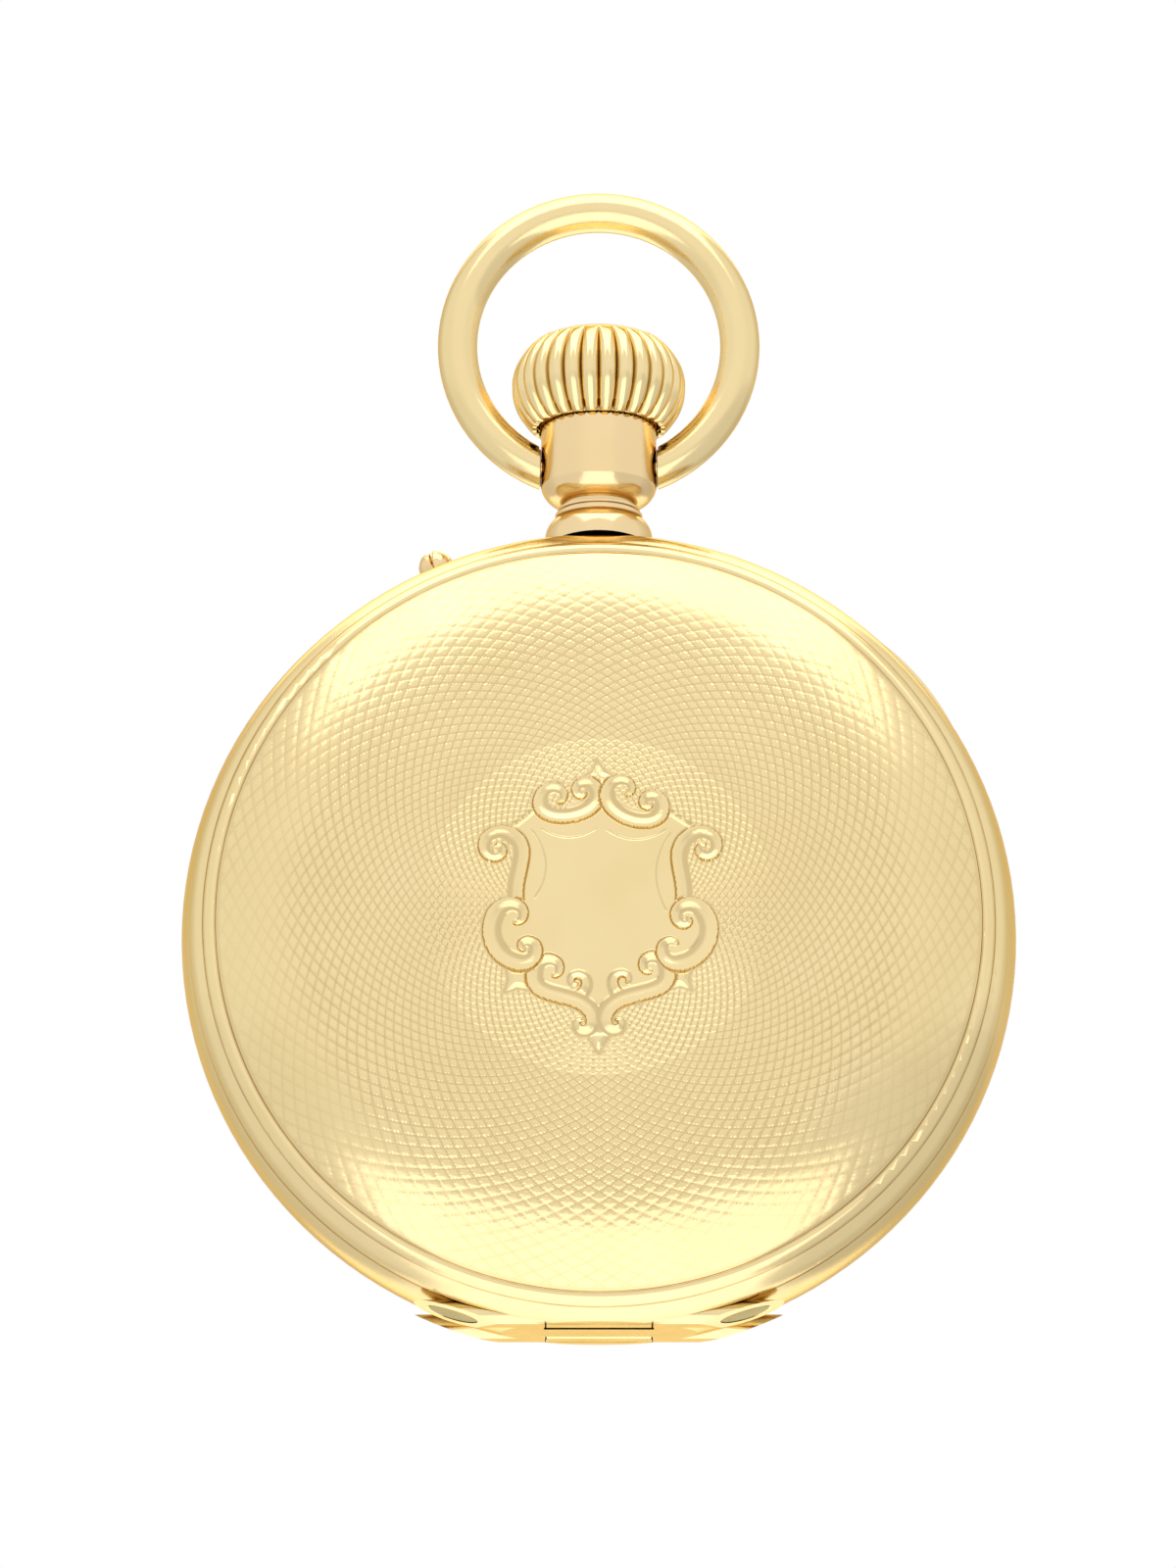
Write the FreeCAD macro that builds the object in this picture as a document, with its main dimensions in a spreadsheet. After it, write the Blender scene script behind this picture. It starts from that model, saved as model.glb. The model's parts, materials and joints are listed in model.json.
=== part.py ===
import FreeCAD, Part
import math
import os

import Sketcher
from FreeCAD import Placement, Rotation, Vector

# Hunter pocket watch, in millimetres. The origin is the middle of the case on the axis of the hands.
# +Z points to the crown, -Y to the front cover and the dial, +Y to the back cover.
# On the dial 12 lies towards -X, 3 towards +Z (the crown), 6 towards +X and 9 towards -Z (the joints).

SIZES = {
    # case
    "band_round": (5.02, "radius of the band's bulging section"),
    "shoulder_r": (24.4, "radius of the band where the covers sit"),
    "shoulder_y": (2.35, "half width of the band at the shoulders"),
    "lip_r": (23.4, "outer radius of the lips inside the covers"),
    "lip_y": (2.6, "half width of the band over its lips"),
    "bezel_seat_r": (21.5, "recess that takes the bezel"),
    "bezel_seat_y": (-1.9, "floor of the bezel recess"),
    "movement_hole_r": (20.4, "bore that takes the movement"),
    "ledge_r": (19.8, "inner radius of the ledge under the movement"),
    "ledge_y": (-0.2, "seat of the movement on the ledge"),
    "channel_r": (22.3, "outer radius of the spring channel"),
    "channel_low": (0.1, "front side of the spring channel"),
    "channel_high": (1.3, "back side of the spring channel"),
    "trim_r": (24.82, "radius to which the joint ends are filed, at their outer sides"),
    "trim_y": (2.8, "distance of those sides from the middle"),
    "trim_round": (6.0, "radius of the filed section"),
    # covers
    "cover_r": (24.45, "radius of a cover"),
    "cover_y": (2.4, "distance of a cover's edge from the middle"),
    "cover_wall_r": (23.5, "inside of a cover's rim"),
    "cover_roof_y": (3.45, "underside of a cover's rim over the lip"),
    "bead_split_r": (23.6, "line between the two beads of the rim"),
    "bead_in_r": (22.85, "inner edge of the inner bead"),
    "bead_in_y": (4.3, "height of that edge, where the dome ends"),
    "bead_y": (3.8, "height of the line between the beads"),
    "bead_edge_y": (2.7, "outer foot of the outer bead"),
    "bead_round": (0.7, "radius of the inner bead"),
    "bead_flat": (1.8, "radius of the outer bead"),
    "dome_join_r": (16.0, "radius where the dome's two curves meet"),
    "dome_y": (7.4, "height of the dome in the middle"),
    "dome_round": (120.0, "radius of the middle of the dome"),
    "dome_edge_round": (24.0, "radius of the edge of the dome"),
    "cover_wall": (0.5, "thickness of a cover"),
    "lip_grip_r": (15.3, "radius of the thumb lip's own edge"),
    "lip_grip_reach": (10.5, "distance of that edge's centre from the middle"),
    "lip_grip_y": (2.95, "height of the thumb lip"),
    "lip_grip_angle": (47.0, "place of the thumb lip, from the crown towards 6"),
    # case joints
    "joint_y": (1.9, "distance of a joint's axis from the middle"),
    "joint_z": (-23.6, "height of the joints' axes"),
    "joint_r": (0.85, "radius of a joint's knuckles"),
    "joint_room_r": (1.2, "room in the band round a moving knuckle"),
    "joint_flat_z": (-24.3, "flat filed across the band and the knuckles"),
    "joint_half": (3.1, "half length of a moving knuckle"),
    "joint_fixed": (3.2, "start of the fixed knuckles"),
    "joint_end": (9.5, "end of the groove for the fixed knuckles in a cover"),
    "joint_bore": (0.53, "bore of the knuckles"),
    "joint_pin": (0.5, "radius of the joint pins"),
    # cuvette
    "cuvette_r": (21.6, "radius of the inner cover"),
    "cuvette_edge_y": (2.65, "seat of the inner cover"),
    "cuvette_top_y": (4.7, "height of the inner cover in the middle"),
    "cuvette_dome_y": (3.42, "height of the inner cover's dome at its edge"),
    "cuvette_dome_r": (20.6, "radius of the inner cover's dome"),
    "cuvette_wall": (0.4, "thickness of the inner cover"),
    "cuvette_trim_z": (-20.35, "edge of the inner cover at its joint"),
    "cuvette_joint_y": (3.15, "axis of the inner cover's joint"),
    "cuvette_joint_z": (-20.9, "height of that axis"),
    "cuvette_joint_r": (0.48, "radius of its knuckles"),
    "cuvette_joint_half": (1.4, "half length of its moving knuckle"),
    "cuvette_pin": (0.2, "radius of its pin"),
    # pendant, bow and crown
    "stem_hole_r": (1.35, "hole for the stem through band and pendant"),
    "pendant_r": (3.5, "radius of the pendant"),
    "pendant_top_r": (3.2, "radius of the pendant's top"),
    "pendant_top_z": (32.3, "height of the pendant's top"),
    "pendant_shoulder_z": (28.2, "height of the pendant's lower shoulder"),
    "pendant_neck_r": (2.25, "radius of the groove above the foot"),
    "pendant_neck_z": (27.1, "height of that groove"),
    "pendant_ring_r": (2.65, "radius of the ring on top of the foot"),
    "pendant_ring_z": (26.25, "lower side of that ring"),
    "pendant_foot_r": (3.25, "radius of the rounded foot"),
    "pendant_foot_z": (24.0, "lowest place of the foot before it is saddled"),
    "sleeve_hole_r": (2.0, "bore for the head of the push sleeve"),
    "sleeve_hole_z": (27.6, "floor of that bore"),
    "pivot_z": (29.5, "height of the bow's pivots"),
    "pivot_hole_r": (0.6, "holes for the bow's pivots"),
    "pivot_r": (0.54, "radius of the bow's pivots"),
    "bow_z": (37.3, "height of the bow's centre"),
    "bow_r": (8.6, "radius of the bow at the middle of its wire"),
    "bow_wire_r": (1.2, "radius of the bow's wire"),
    "bow_end_x": (3.6, "place of the bow's flat ends"),
    "crown_r": (5.3, "widest radius of the crown"),
    "crown_low_r": (4.05, "radius of the crown's lower edge"),
    "crown_low_z": (31.95, "height of the crown's lower edge"),
    "crown_room_r": (3.75, "hollow of the crown over the pendant"),
    "crown_roof_z": (33.3, "roof of that hollow"),
    "crown_wide_z": (34.7, "height of the crown's widest place"),
    "crown_high_r": (3.9, "radius of the crown's cap"),
    "crown_high_z": (37.35, "height of the cap's edge"),
    "crown_top_z": (38.3, "height of the crown"),
    "crown_flutes": (28, "number of flutes round the crown"),
    "flute_r": (0.3, "radius of a flute"),
    "stem_r": (0.55, "radius of the winding stem"),
    "stem_bore_r": (0.6, "bore of the pieces that ride on the stem"),
    "stem_low_z": (12.5, "lower end of the stem"),
    "stem_top_z": (36.0, "upper end of the stem in the crown"),
    "sleeve_r": (1.25, "radius of the push sleeve"),
    "sleeve_head_r": (1.9, "radius of the push sleeve's head"),
    "sleeve_low_z": (22.0, "lower end of the push sleeve"),
    "sleeve_head_z": (28.2, "lower side of the push sleeve's head"),
    "sleeve_top_z": (33.2, "upper end of the push sleeve"),
    # set pusher
    "pusher_angle": (-23.0, "place of the set pusher, from the crown towards 6"),
    "pusher_r": (1.05, "radius of the pusher's head"),
    "pusher_head_z": (25.2, "distance of the head's centre from the middle"),
    "pusher_hole_r": (1.13, "pocket for the pusher's head"),
    "pusher_pocket_z": (23.55, "floor of that pocket"),
    "pusher_stem_r": (0.45, "radius of the pusher's stem"),
    "pusher_bore_r": (0.5, "hole for the pusher's stem"),
    "pusher_low_z": (18.75, "inner end of the pusher's stem"),
    # bezel, glass and dial
    "bezel_r": (21.4, "radius of the bezel"),
    "bezel_low": (-1.95, "foot of the bezel"),
    "bezel_hole_r": (19.2, "opening of the bezel"),
    "bezel_top_y": (-4.25, "height of the bezel"),
    "glass_r": (19.7, "radius of the glass"),
    "glass_seat_r": (19.75, "groove for the glass"),
    "glass_edge_y": (-3.62, "seat of the glass"),
    "glass_rim_y": (-4.2, "upper edge of the glass"),
    "glass_top_y": (-6.1, "height of the glass in the middle"),
    "glass_under_y": (-5.5, "underside of the glass in the middle"),
    "dial_r": (20.2, "radius of the dial"),
    "dial_face_y": (-2.9, "face of the dial"),
    "dial_back_y": (-2.2, "back of the dial"),
    "dial_hole_r": (1.05, "middle hole of the dial"),
    "sub_dial_r": (4.3, "radius of the sunk seconds dial"),
    "sub_dial_depth": (0.2, "depth of the seconds dial"),
    # movement
    "plate_r": (20.3, "radius of the main plate"),
    "plate_front": (-1.5, "front of the main plate"),
    "bridge_r": (19.6, "radius of the bridges"),
    "bridge_wall_r": (18.4, "inside of the bridges' feet"),
    "bridge_low": (1.1, "underside of the bridges"),
    "bridge_high": (2.1, "top of the bridges"),
    "balance_room_r": (6.7, "room in the bridges for the balance"),
    "jewel_r": (0.62, "radius of a jewel"),
    "jewel_bore": (0.14, "bore of a jewel"),
    "big_jewel_r": (0.8, "radius of the balance's and the centre's jewels"),
    "barrel_arbor_room": (0.95, "holes for the barrel's arbor"),
    "barrel_x": (-5.793, "place of the barrel"),
    "barrel_z": (6.288, "place of the barrel"),
    "barrel_r": (7.6, "pitch radius of the barrel"),
    "crown_wheel_z": (14.5, "place of the crown wheel"),
    "third_x": (6.0, "place of the third wheel"),
    "third_z": (3.1, "place of the third wheel"),
    "fourth_x": (9.5, "place of the fourth wheel"),
    "escape_x": (7.68, "place of the escape wheel"),
    "escape_z": (-4.25, "place of the escape wheel"),
    "fork_x": (5.56, "place of the pallet fork"),
    "fork_z": (-7.28, "place of the pallet fork"),
    "balance_x": (4.37, "place of the balance"),
    "balance_z": (-11.72, "place of the balance"),
    "minute_z": (3.12, "place of the minute wheel"),
    "setting_z": (9.1, "place of the setting wheel"),
    "click_x": (-13.9, "place of the click"),
    "click_z": (9.3, "place of the click"),
    "screw_head_r": (0.9, "radius of a bridge screw's head"),
    "screw_r": (0.4, "radius of a bridge screw"),
}

SCREWS = [(-16.9, 5.2), (-8.5, 15.6), (-17.3, -2.2), (4.0, 17.4), (8.2, 15.8), (14.8, 9.8), (17.6, -3.0)]
CASE_SCREWS = [(18.35, 4.92), (-18.7, 3.3)]
COCK_SCREW = (-7.6, -13.6)
FORK_SCREW = (8.6, -9.4)

doc = FreeCAD.newDocument("pocket_watch")


# ---------------------------------------------------------------- sizes
class Size:
    """A number together with the sheet expression that gives it."""

    def __init__(self, value, text):
        self.value = float(value)
        self.text = text

    def __add__(self, other):
        other = as_size(other)
        return Size(self.value + other.value, f"({self.text} + {other.text})")

    def __sub__(self, other):
        other = as_size(other)
        return Size(self.value - other.value, f"({self.text} - {other.text})")

    def __mul__(self, factor):
        factor = as_size(factor)
        return Size(self.value * factor.value, f"({self.text} * {factor.text})")

    def __truediv__(self, other):
        other = as_size(other)
        return Size(self.value / other.value, f"({self.text} / {other.text})")

    def __neg__(self):
        return Size(-self.value, f"(0 - {self.text})")


def root(size):
    """The square root of a Size."""
    return Size(math.sqrt(size.value), f"sqrt({size.text})")


def dome_radius(half_width, rise):
    """The radius of the arc that rises this much over its middle."""
    half_width, rise = as_size(half_width), as_size(rise)
    return (half_width * half_width + rise * rise) / (rise * 2)


def as_size(number):
    """A plain number becomes a Size with its own digits as the expression."""
    if isinstance(number, Size):
        return number
    return Size(number, f"({number})")


def fill_sheet():
    """Writes the driving dimensions into the sheet and returns them as Sizes."""
    sheet = doc.addObject("Spreadsheet::Sheet", "Params")
    found = {}
    for row, (alias, (value, meaning)) in enumerate(SIZES.items(), start=1):
        sheet.set(f"A{row}", meaning)
        sheet.set(f"B{row}", str(value))
        sheet.setAlias(f"B{row}", alias)
        found[alias] = Size(value, f"Params.{alias}")
    doc.recompute()
    return found


D = fill_sheet()


def mm(alias):
    """The value of a sheet cell."""
    return D[alias].value


# ---------------------------------------------------------------- sketches and features
class Arc:
    """An arc between its neighbours in an outline; positive bulges to the right of travel."""

    def __init__(self, radius, side=1):
        self.radius = as_size(radius)
        self.side = side


def new_body(label):
    """An empty body that will become one piece of the watch."""
    body = doc.addObject("PartDesign::Body", label)
    body.Label = label
    return body


def new_sketch(body, name, plane, offset=0, tilt=0):
    """A sketch on one of the body's planes, moved along its normal and tilted about Y."""
    sketch = body.newObject("Sketcher::SketchObject", name)
    support = [f for f in body.Origin.OriginFeatures if f.Role == plane + "_Plane"][0]
    sketch.AttachmentSupport = [(support, "")]
    sketch.MapMode = "FlatFace"
    offset = as_size(offset)
    turn = Rotation(Vector(0, 1, 0), tilt)
    sketch.AttachmentOffset = Placement(turn.multVec(Vector(0, 0, offset.value)), turn)
    if not tilt:
        sketch.setExpression("AttachmentOffset.Base.z", offset.text)
    return sketch


def pin_point(sketch, edge, end, place):
    """Fixes a point of an edge at x and y taken from the sheet."""
    for kind, axis, number in (("DistanceX", -2, place[0]), ("DistanceY", -1, place[1])):
        number = as_size(number)
        if number.value == 0:
            sketch.addConstraint(Sketcher.Constraint("PointOnObject", edge, end, axis))
            continue
        row = sketch.addConstraint(Sketcher.Constraint(kind, -1, 1, edge, end, number.value))
        sketch.setExpression(f"Constraints[{row}]", number.text)


def arc_through(first, last, arc):
    """The arc between first and last, always drawn anticlockwise as sketches need."""
    chord = last - first
    middle = (first + last) * 0.5
    right = Vector(chord.y, -chord.x, 0).normalize()
    radius = arc.radius.value
    rise = radius - math.sqrt(max(radius * radius - chord.Length * chord.Length / 4, 0))
    top = middle + right * (rise * arc.side)
    return Part.Arc(first, top, last) if arc.side > 0 else Part.Arc(last, top, first)


def draw_outline(sketch, items):
    """Draws a closed outline: points (x, y), with an Arc between two points that it joins."""
    corners = [item for item in items if not isinstance(item, Arc)]
    bends = []
    for place, item in enumerate(items):
        if not isinstance(item, Arc):
            following = items[(place + 1) % len(items)]
            bends.append(following if isinstance(following, Arc) else None)
    spots = [Vector(as_size(x).value, as_size(y).value, 0) for x, y in corners]
    starts = []
    for row, bend in enumerate(bends):
        first = spots[row]
        last = spots[(row + 1) % len(spots)]
        if bend is None:
            edge = sketch.addGeometry(Part.LineSegment(first, last), False)
            starts.append((edge, 1, 2))
            continue
        edge = sketch.addGeometry(arc_through(first, last, bend), False)
        starts.append((edge, 1, 2) if bend.side > 0 else (edge, 2, 1))
    for row, (edge, start, end) in enumerate(starts):
        following, following_start, _ = starts[(row + 1) % len(starts)]
        sketch.addConstraint(Sketcher.Constraint("Coincident", edge, end, following, following_start))
    for (edge, start, _), place in zip(starts, corners):
        pin_point(sketch, edge, start, place)
    for (edge, _, _), bend in zip(starts, bends):
        if bend is not None:
            row = sketch.addConstraint(Sketcher.Constraint("Radius", edge, bend.radius.value))
            sketch.setExpression(f"Constraints[{row}]", bend.radius.text)


def draw_circle(sketch, x, y, radius):
    """Draws a circle whose centre and radius come from the sheet."""
    x, y, radius = as_size(x), as_size(y), as_size(radius)
    centre = Vector(x.value, y.value, 0)
    edge = sketch.addGeometry(Part.Circle(centre, Vector(0, 0, 1), radius.value), False)
    if x.value == 0 and y.value == 0:
        sketch.addConstraint(Sketcher.Constraint("Coincident", edge, 3, -1, 1))
    else:
        pin_point(sketch, edge, 3, (x, y))
    row = sketch.addConstraint(Sketcher.Constraint("Radius", edge, radius.value))
    sketch.setExpression(f"Constraints[{row}]", radius.text)


def volume_now(body):
    """The body's volume with everything so far worked out."""
    doc.recompute()
    return body.Shape.Volume


def finish_cut(body, feature, before):
    """Stops the script if a cut removed nothing."""
    doc.recompute()
    if feature.Shape.Volume > before - 1e-6:
        raise RuntimeError(f"{body.Label}: {feature.Name} cuts nothing")


def extrude(body, sketch, length, cut=False, both=False, flip=False):
    """A pad or pocket along the sketch's normal, or half each way."""
    length = as_size(length)
    before = volume_now(body) if cut else 0
    feature = body.newObject("PartDesign::Pocket" if cut else "PartDesign::Pad", sketch.Name + "_feature")
    feature.Profile = sketch
    feature.Length = length.value
    feature.setExpression("Length", length.text)
    feature.Midplane = both
    feature.Reversed = flip
    if cut:
        finish_cut(body, feature, before)
    return feature


def turn(body, name, plane, items, cut=False):
    """A revolution or groove about the sketch's upright axis."""
    sketch = new_sketch(body, name, plane)
    draw_outline(sketch, items)
    before = volume_now(body) if cut else 0
    kind = "PartDesign::Groove" if cut else "PartDesign::Revolution"
    feature = body.newObject(kind, name + "_feature")
    feature.Profile = sketch
    feature.ReferenceAxis = (sketch, ["V_Axis"])
    feature.Angle = 360
    if cut:
        finish_cut(body, feature, before)
    return feature


def slab(body, name, items, low, high, cut=False):
    """A flat piece, or a cut, between two levels of Y, with an outline in X and Z."""
    sketch = new_sketch(body, name, "XZ", -as_size(high))
    draw_outline(sketch, items)
    return extrude(body, sketch, as_size(high) - low, cut, flip=cut)


def disc(body, name, x, z, radius, low, high, cut=False):
    """A round boss, or a hole, along Y between two levels."""
    sketch = new_sketch(body, name, "XZ", -as_size(high))
    draw_circle(sketch, x, z, radius)
    return extrude(body, sketch, as_size(high) - low, cut, flip=cut)


def bar_x(body, name, y, z, radius, start, length, side=0, cut=False):
    """A round bar, or a bore, along X: across the middle, or outwards from start on one side."""
    offset = as_size(start) * side if side else as_size(0)
    sketch = new_sketch(body, name, "YZ", offset)
    draw_circle(sketch, y, z, radius)
    return extrude(body, sketch, length, cut, both=not side, flip=(side < 0) != cut)


def box_points(x0, x1, z0, z1):
    """The corners of a rectangle."""
    return [(x0, z0), (x1, z0), (x1, z1), (x0, z1)]


def bore_z(body, name, radius, low, high, tilt=0):
    """A hole along Z, or along Z tilted about Y, from high down to low."""
    sketch = new_sketch(body, name, "XY", high, tilt)
    draw_circle(sketch, 0, 0, radius)
    return extrude(body, sketch, as_size(high) - low, cut=True)


def feature(label, shape, x=0.0, z=0.0, turn_y=0.0):
    """A piece whose outline is a formula, placed at x and z and turned about Y."""
    piece = doc.addObject("Part::Feature", label)
    piece.Label = label
    piece.Shape = shape
    piece.Placement = Placement(Vector(x, 0, z), Rotation(Vector(0, 1, 0), turn_y))
    return piece


# ---------------------------------------------------------------- plain shapes
def rod(radius, low, high, x=0.0, z=0.0):
    """A cylinder along Y."""
    return Part.makeCylinder(radius, high - low, Vector(x, low, z), Vector(0, 1, 0))


def ring(outer, inner, low, high, x=0.0, z=0.0):
    """A tube along Y."""
    return rod(outer, low, high, x, z).cut(rod(inner, low, high, x, z))


def block(x0, x1, y0, y1, z0, z1):
    """A box between two corners."""
    return Part.makeBox(x1 - x0, y1 - y0, z1 - z0, Vector(x0, y0, z0))


def prism(points, low, high):
    """A flat piece with straight edges between two levels of Y."""
    corners = [Vector(x, low, z) for x, z in points]
    face = Part.Face(Part.makePolygon(corners + corners[:1]))
    return face.extrude(Vector(0, high - low, 0))


TOOTH = ((-0.34, 0), (-0.14, 1), (0.14, 1), (0.34, 0))
TOOTH_REACH = 0.02


def toothed(teeth, pitch_r, depth, low, high):
    """A disc with straight-flanked teeth that reach just past its pitch circle."""
    points = []
    for tooth in range(teeth):
        for share, up in TOOTH:
            angle = 2 * math.pi * (tooth + share) / teeth
            radius = pitch_r + TOOTH_REACH - depth * (1 - up)
            points.append((radius * math.cos(angle), radius * math.sin(angle)))
    return prism(points, low, high)


def crossed(disc_shape, outer, inner, spokes, width, low, high):
    """Cuts windows between the rim and the hub of a wheel, leaving spokes."""
    windows = ring(outer, inner, low, high)
    for spoke in range(spokes):
        arm = block(0, outer + 1, low, high, -width / 2, width / 2)
        arm.rotate(Vector(0, 0, 0), Vector(0, 1, 0), 360 * spoke / spokes)
        windows = windows.cut(arm)
    return disc_shape.cut(windows)


def spiral_strip(inner, outer, turns, thickness, low, high):
    """A coiled flat spring."""
    steps = int(turns * 18)
    sides = []
    for offset in (-thickness / 2, thickness / 2):
        points = []
        for step in range(steps + 1):
            angle = 2 * math.pi * turns * step / steps
            radius = inner + (outer - inner) * step / steps + offset
            points.append(Vector(radius * math.cos(angle), low, radius * math.sin(angle)))
        curve = Part.BSplineCurve()
        curve.interpolate(points)
        sides.append(curve.toShape())
    first = Part.makeLine(sides[0].Vertexes[0].Point, sides[1].Vertexes[0].Point)
    last = Part.makeLine(sides[0].Vertexes[-1].Point, sides[1].Vertexes[-1].Point)
    face = Part.Face(Part.Wire([first, sides[1], last, sides[0]]))
    return face.extrude(Vector(0, high - low, 0))


def screw_shape(x, z, head_r, shank_r, seat, head, depth):
    """A cheese-headed screw with a slot, along Y."""
    shape = rod(head_r, seat, seat + head, x, z).fuse(rod(shank_r, seat - depth, seat, x, z))
    slot = block(x - head_r, x + head_r, seat + head * 0.5, seat + head + 1, z - 0.09, z + 0.09)
    return shape.cut(slot).removeSplitter()


# ---------------------------------------------------------------- case
JOINT_GAP = 0.05
EDGE_BREAK = 0.12
LATCH_X = (2.6, 4.6)
CATCH_X = (2.9, 4.3)


def make_band():
    """The band: the ring that carries the covers, the pendant and the movement."""
    body = new_body("case_band")
    turn(body, "band_section", "XY", [
        (D["shoulder_r"], -D["shoulder_y"]), Arc(D["band_round"]),
        (D["shoulder_r"], D["shoulder_y"]),
        (D["lip_r"], D["shoulder_y"]),
        (D["lip_r"], D["lip_y"]),
        (D["ledge_r"], D["lip_y"]),
        (D["ledge_r"], D["channel_high"]),
        (D["channel_r"], D["channel_high"]),
        (D["channel_r"], D["channel_low"]),
        (D["ledge_r"], D["channel_low"]),
        (D["ledge_r"], D["ledge_y"]),
        (D["movement_hole_r"], D["ledge_y"]),
        (D["movement_hole_r"], D["bezel_seat_y"]),
        (D["bezel_seat_r"], D["bezel_seat_y"]),
        (D["bezel_seat_r"], -D["lip_y"]),
        (D["lip_r"], -D["lip_y"]),
        (D["lip_r"], -D["shoulder_y"]),
    ])
    doc.recompute()
    for side, name in ((-1, "front"), (1, "back")):
        y = D["joint_y"] * side
        room = (D["joint_half"] + JOINT_GAP * 3) * 2
        bar_x(body, name + "_room", y, D["joint_z"], D["joint_room_r"], 0, room, cut=True)
        for hand, end in ((-1, "left"), (1, "right")):
            knuckle = f"{name}_{end}_knuckle"
            bar_x(body, knuckle, y, D["joint_z"], D["joint_r"], D["joint_fixed"], 9, side=hand)
    doc.recompute()
    for side, name in ((-1, "front"), (1, "back")):
        bar_x(body, name + "_bore", D["joint_y"] * side, D["joint_z"], D["joint_bore"], 0, 26, cut=True)
    trim_joint(body, 0)
    slab(body, "joint_flat", joint_flat_points(), -4, 4, cut=True)
    bore_z(body, "stem_hole", D["stem_hole_r"], 18, 27)
    bore_z(body, "pusher_bore", D["pusher_bore_r"], 18, 27, mm("pusher_angle"))
    bore_z(body, "pusher_pocket", D["pusher_hole_r"], D["pusher_pocket_z"], 27, mm("pusher_angle"))
    latch_slot = box_points(*LATCH_X, 20.9, 23.1)
    slab(body, "latch_slot", latch_slot, D["bezel_seat_y"] + 0.05, D["channel_high"], cut=True)
    slab(body, "catch_slot", box_points(*LATCH_X, 22.2, 23.2), -2.8, -1.5, cut=True)
    for row, (x, z) in enumerate(CASE_SCREWS):
        disc(body, f"screw_room_{row}", x, z, 1.35, D["bridge_high"], 3, cut=True)
    return body


def trim_joint(body, under):
    """Files joint parts to the bulging curve of the case, or to a size below it."""
    side_r, side_y = D["trim_r"] - under, D["trim_y"]
    turn(body, body.Name + "_joint_trim", "XY", [
        (side_r, -side_y), Arc(D["trim_round"]),
        (side_r, side_y),
        (33, side_y),
        (33, -side_y),
    ], cut=True)


def joint_flat_points():
    """What is filed off below the flat across the joints."""
    return box_points(-9, 9, -27, D["joint_flat_z"])


def cover_outline(side):
    """Half section of a cover, from the middle of its dome round its beaded rim and back inside."""
    wall = D["cover_wall"]
    across = D["dome_join_r"] * D["dome_join_r"]
    outer, inner = D["dome_round"], D["dome_round"] - wall
    join_out = D["dome_y"] - outer + root(outer * outer - across)
    join_in = D["dome_y"] - wall - inner + root(inner * inner - across)
    outside = Arc(outer, -side)
    edge = Arc(D["dome_edge_round"], -side)
    return [
        (0, D["dome_y"] * side), outside,
        (D["dome_join_r"], join_out * side), edge,
        (D["bead_in_r"], D["bead_in_y"] * side), Arc(D["bead_round"], -side),
        (D["bead_split_r"], D["bead_y"] * side), Arc(D["bead_flat"], -side),
        (D["cover_r"], D["bead_edge_y"] * side),
        (D["cover_r"], (D["cover_y"] + EDGE_BREAK) * side),
        (D["cover_r"] - EDGE_BREAK, D["cover_y"] * side),
        (D["cover_wall_r"], D["cover_y"] * side),
        (D["cover_wall_r"], D["cover_roof_y"] * side),
        (22.46, D["cover_roof_y"] * side), Arc(D["dome_edge_round"] - wall, side),
        (D["dome_join_r"], join_in * side), Arc(inner, side),
        (0, (D["dome_y"] - wall) * side),
    ]


def make_cover(label, side):
    """A cover with its moving knuckle; side is -1 at the front and 1 at the back."""
    body = new_body(label)
    turn(body, label + "_section", "XY", cover_outline(side))
    doc.recompute()
    y, gap = D["joint_y"] * side, JOINT_GAP
    start, end = D["joint_fixed"] - gap, D["joint_end"]
    under = D["joint_y"] + D["joint_r"] + gap
    low, high = (2, under) if side > 0 else (-under, -2)
    for hand, name in ((-1, "left"), (1, "right")):
        groove = f"{label}_{name}_groove"
        bar_x(body, groove, y, D["joint_z"], D["joint_r"] + gap, start, end - start, side=hand, cut=True)
        near, far = (start, end) if hand > 0 else (-end, -start)
        slab(body, groove + "_foot", box_points(near, far, -26, D["joint_z"]), low, high, cut=True)
    bar_x(body, label + "_knuckle", y, D["joint_z"], D["joint_r"], 0, D["joint_half"] * 2)
    doc.recompute()
    flat = (0.5, 3.3) if side > 0 else (-3.3, -0.5)
    slab(body, label + "_joint_flat", joint_flat_points(), *flat, cut=True)
    bar_x(body, label + "_bore", y, D["joint_z"], D["joint_bore"], 0, 8, cut=True)
    return body


def make_front_cover():
    """The front cover, with the catch that the latch spring holds."""
    body = make_cover("front_cover", -1)
    slab(body, "cover_catch", box_points(*CATCH_X, 22.5, 22.95), -3.6, -0.9)
    return body


def make_back_cover():
    """The back cover, with a thumb lip that stands out past the rim."""
    shell = make_cover("back_shell", 1)
    angle = math.radians(mm("lip_grip_angle"))
    reach = mm("lip_grip_reach")
    grip = doc.addObject("Part::Cylinder", "grip_disc")
    inner = doc.addObject("Part::Cylinder", "grip_hollow")
    for cylinder, alias, x, z in (
        (grip, "lip_grip_r", reach * math.sin(angle), reach * math.cos(angle)),
        (inner, "cover_wall_r", 0, 0),
    ):
        cylinder.setExpression("Radius", f"Params.{alias}")
        cylinder.setExpression("Height", "Params.lip_grip_y - Params.cover_y")
        cylinder.Placement = Placement(Vector(x, mm("lip_grip_y"), z), Rotation(Vector(1, 0, 0), 90))
    crescent = doc.addObject("Part::Cut", "grip_crescent")
    crescent.Base = grip
    crescent.Tool = inner
    cover = doc.addObject("Part::Fuse", "back_cover")
    cover.Base = shell
    cover.Tool = crescent
    return cover


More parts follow.
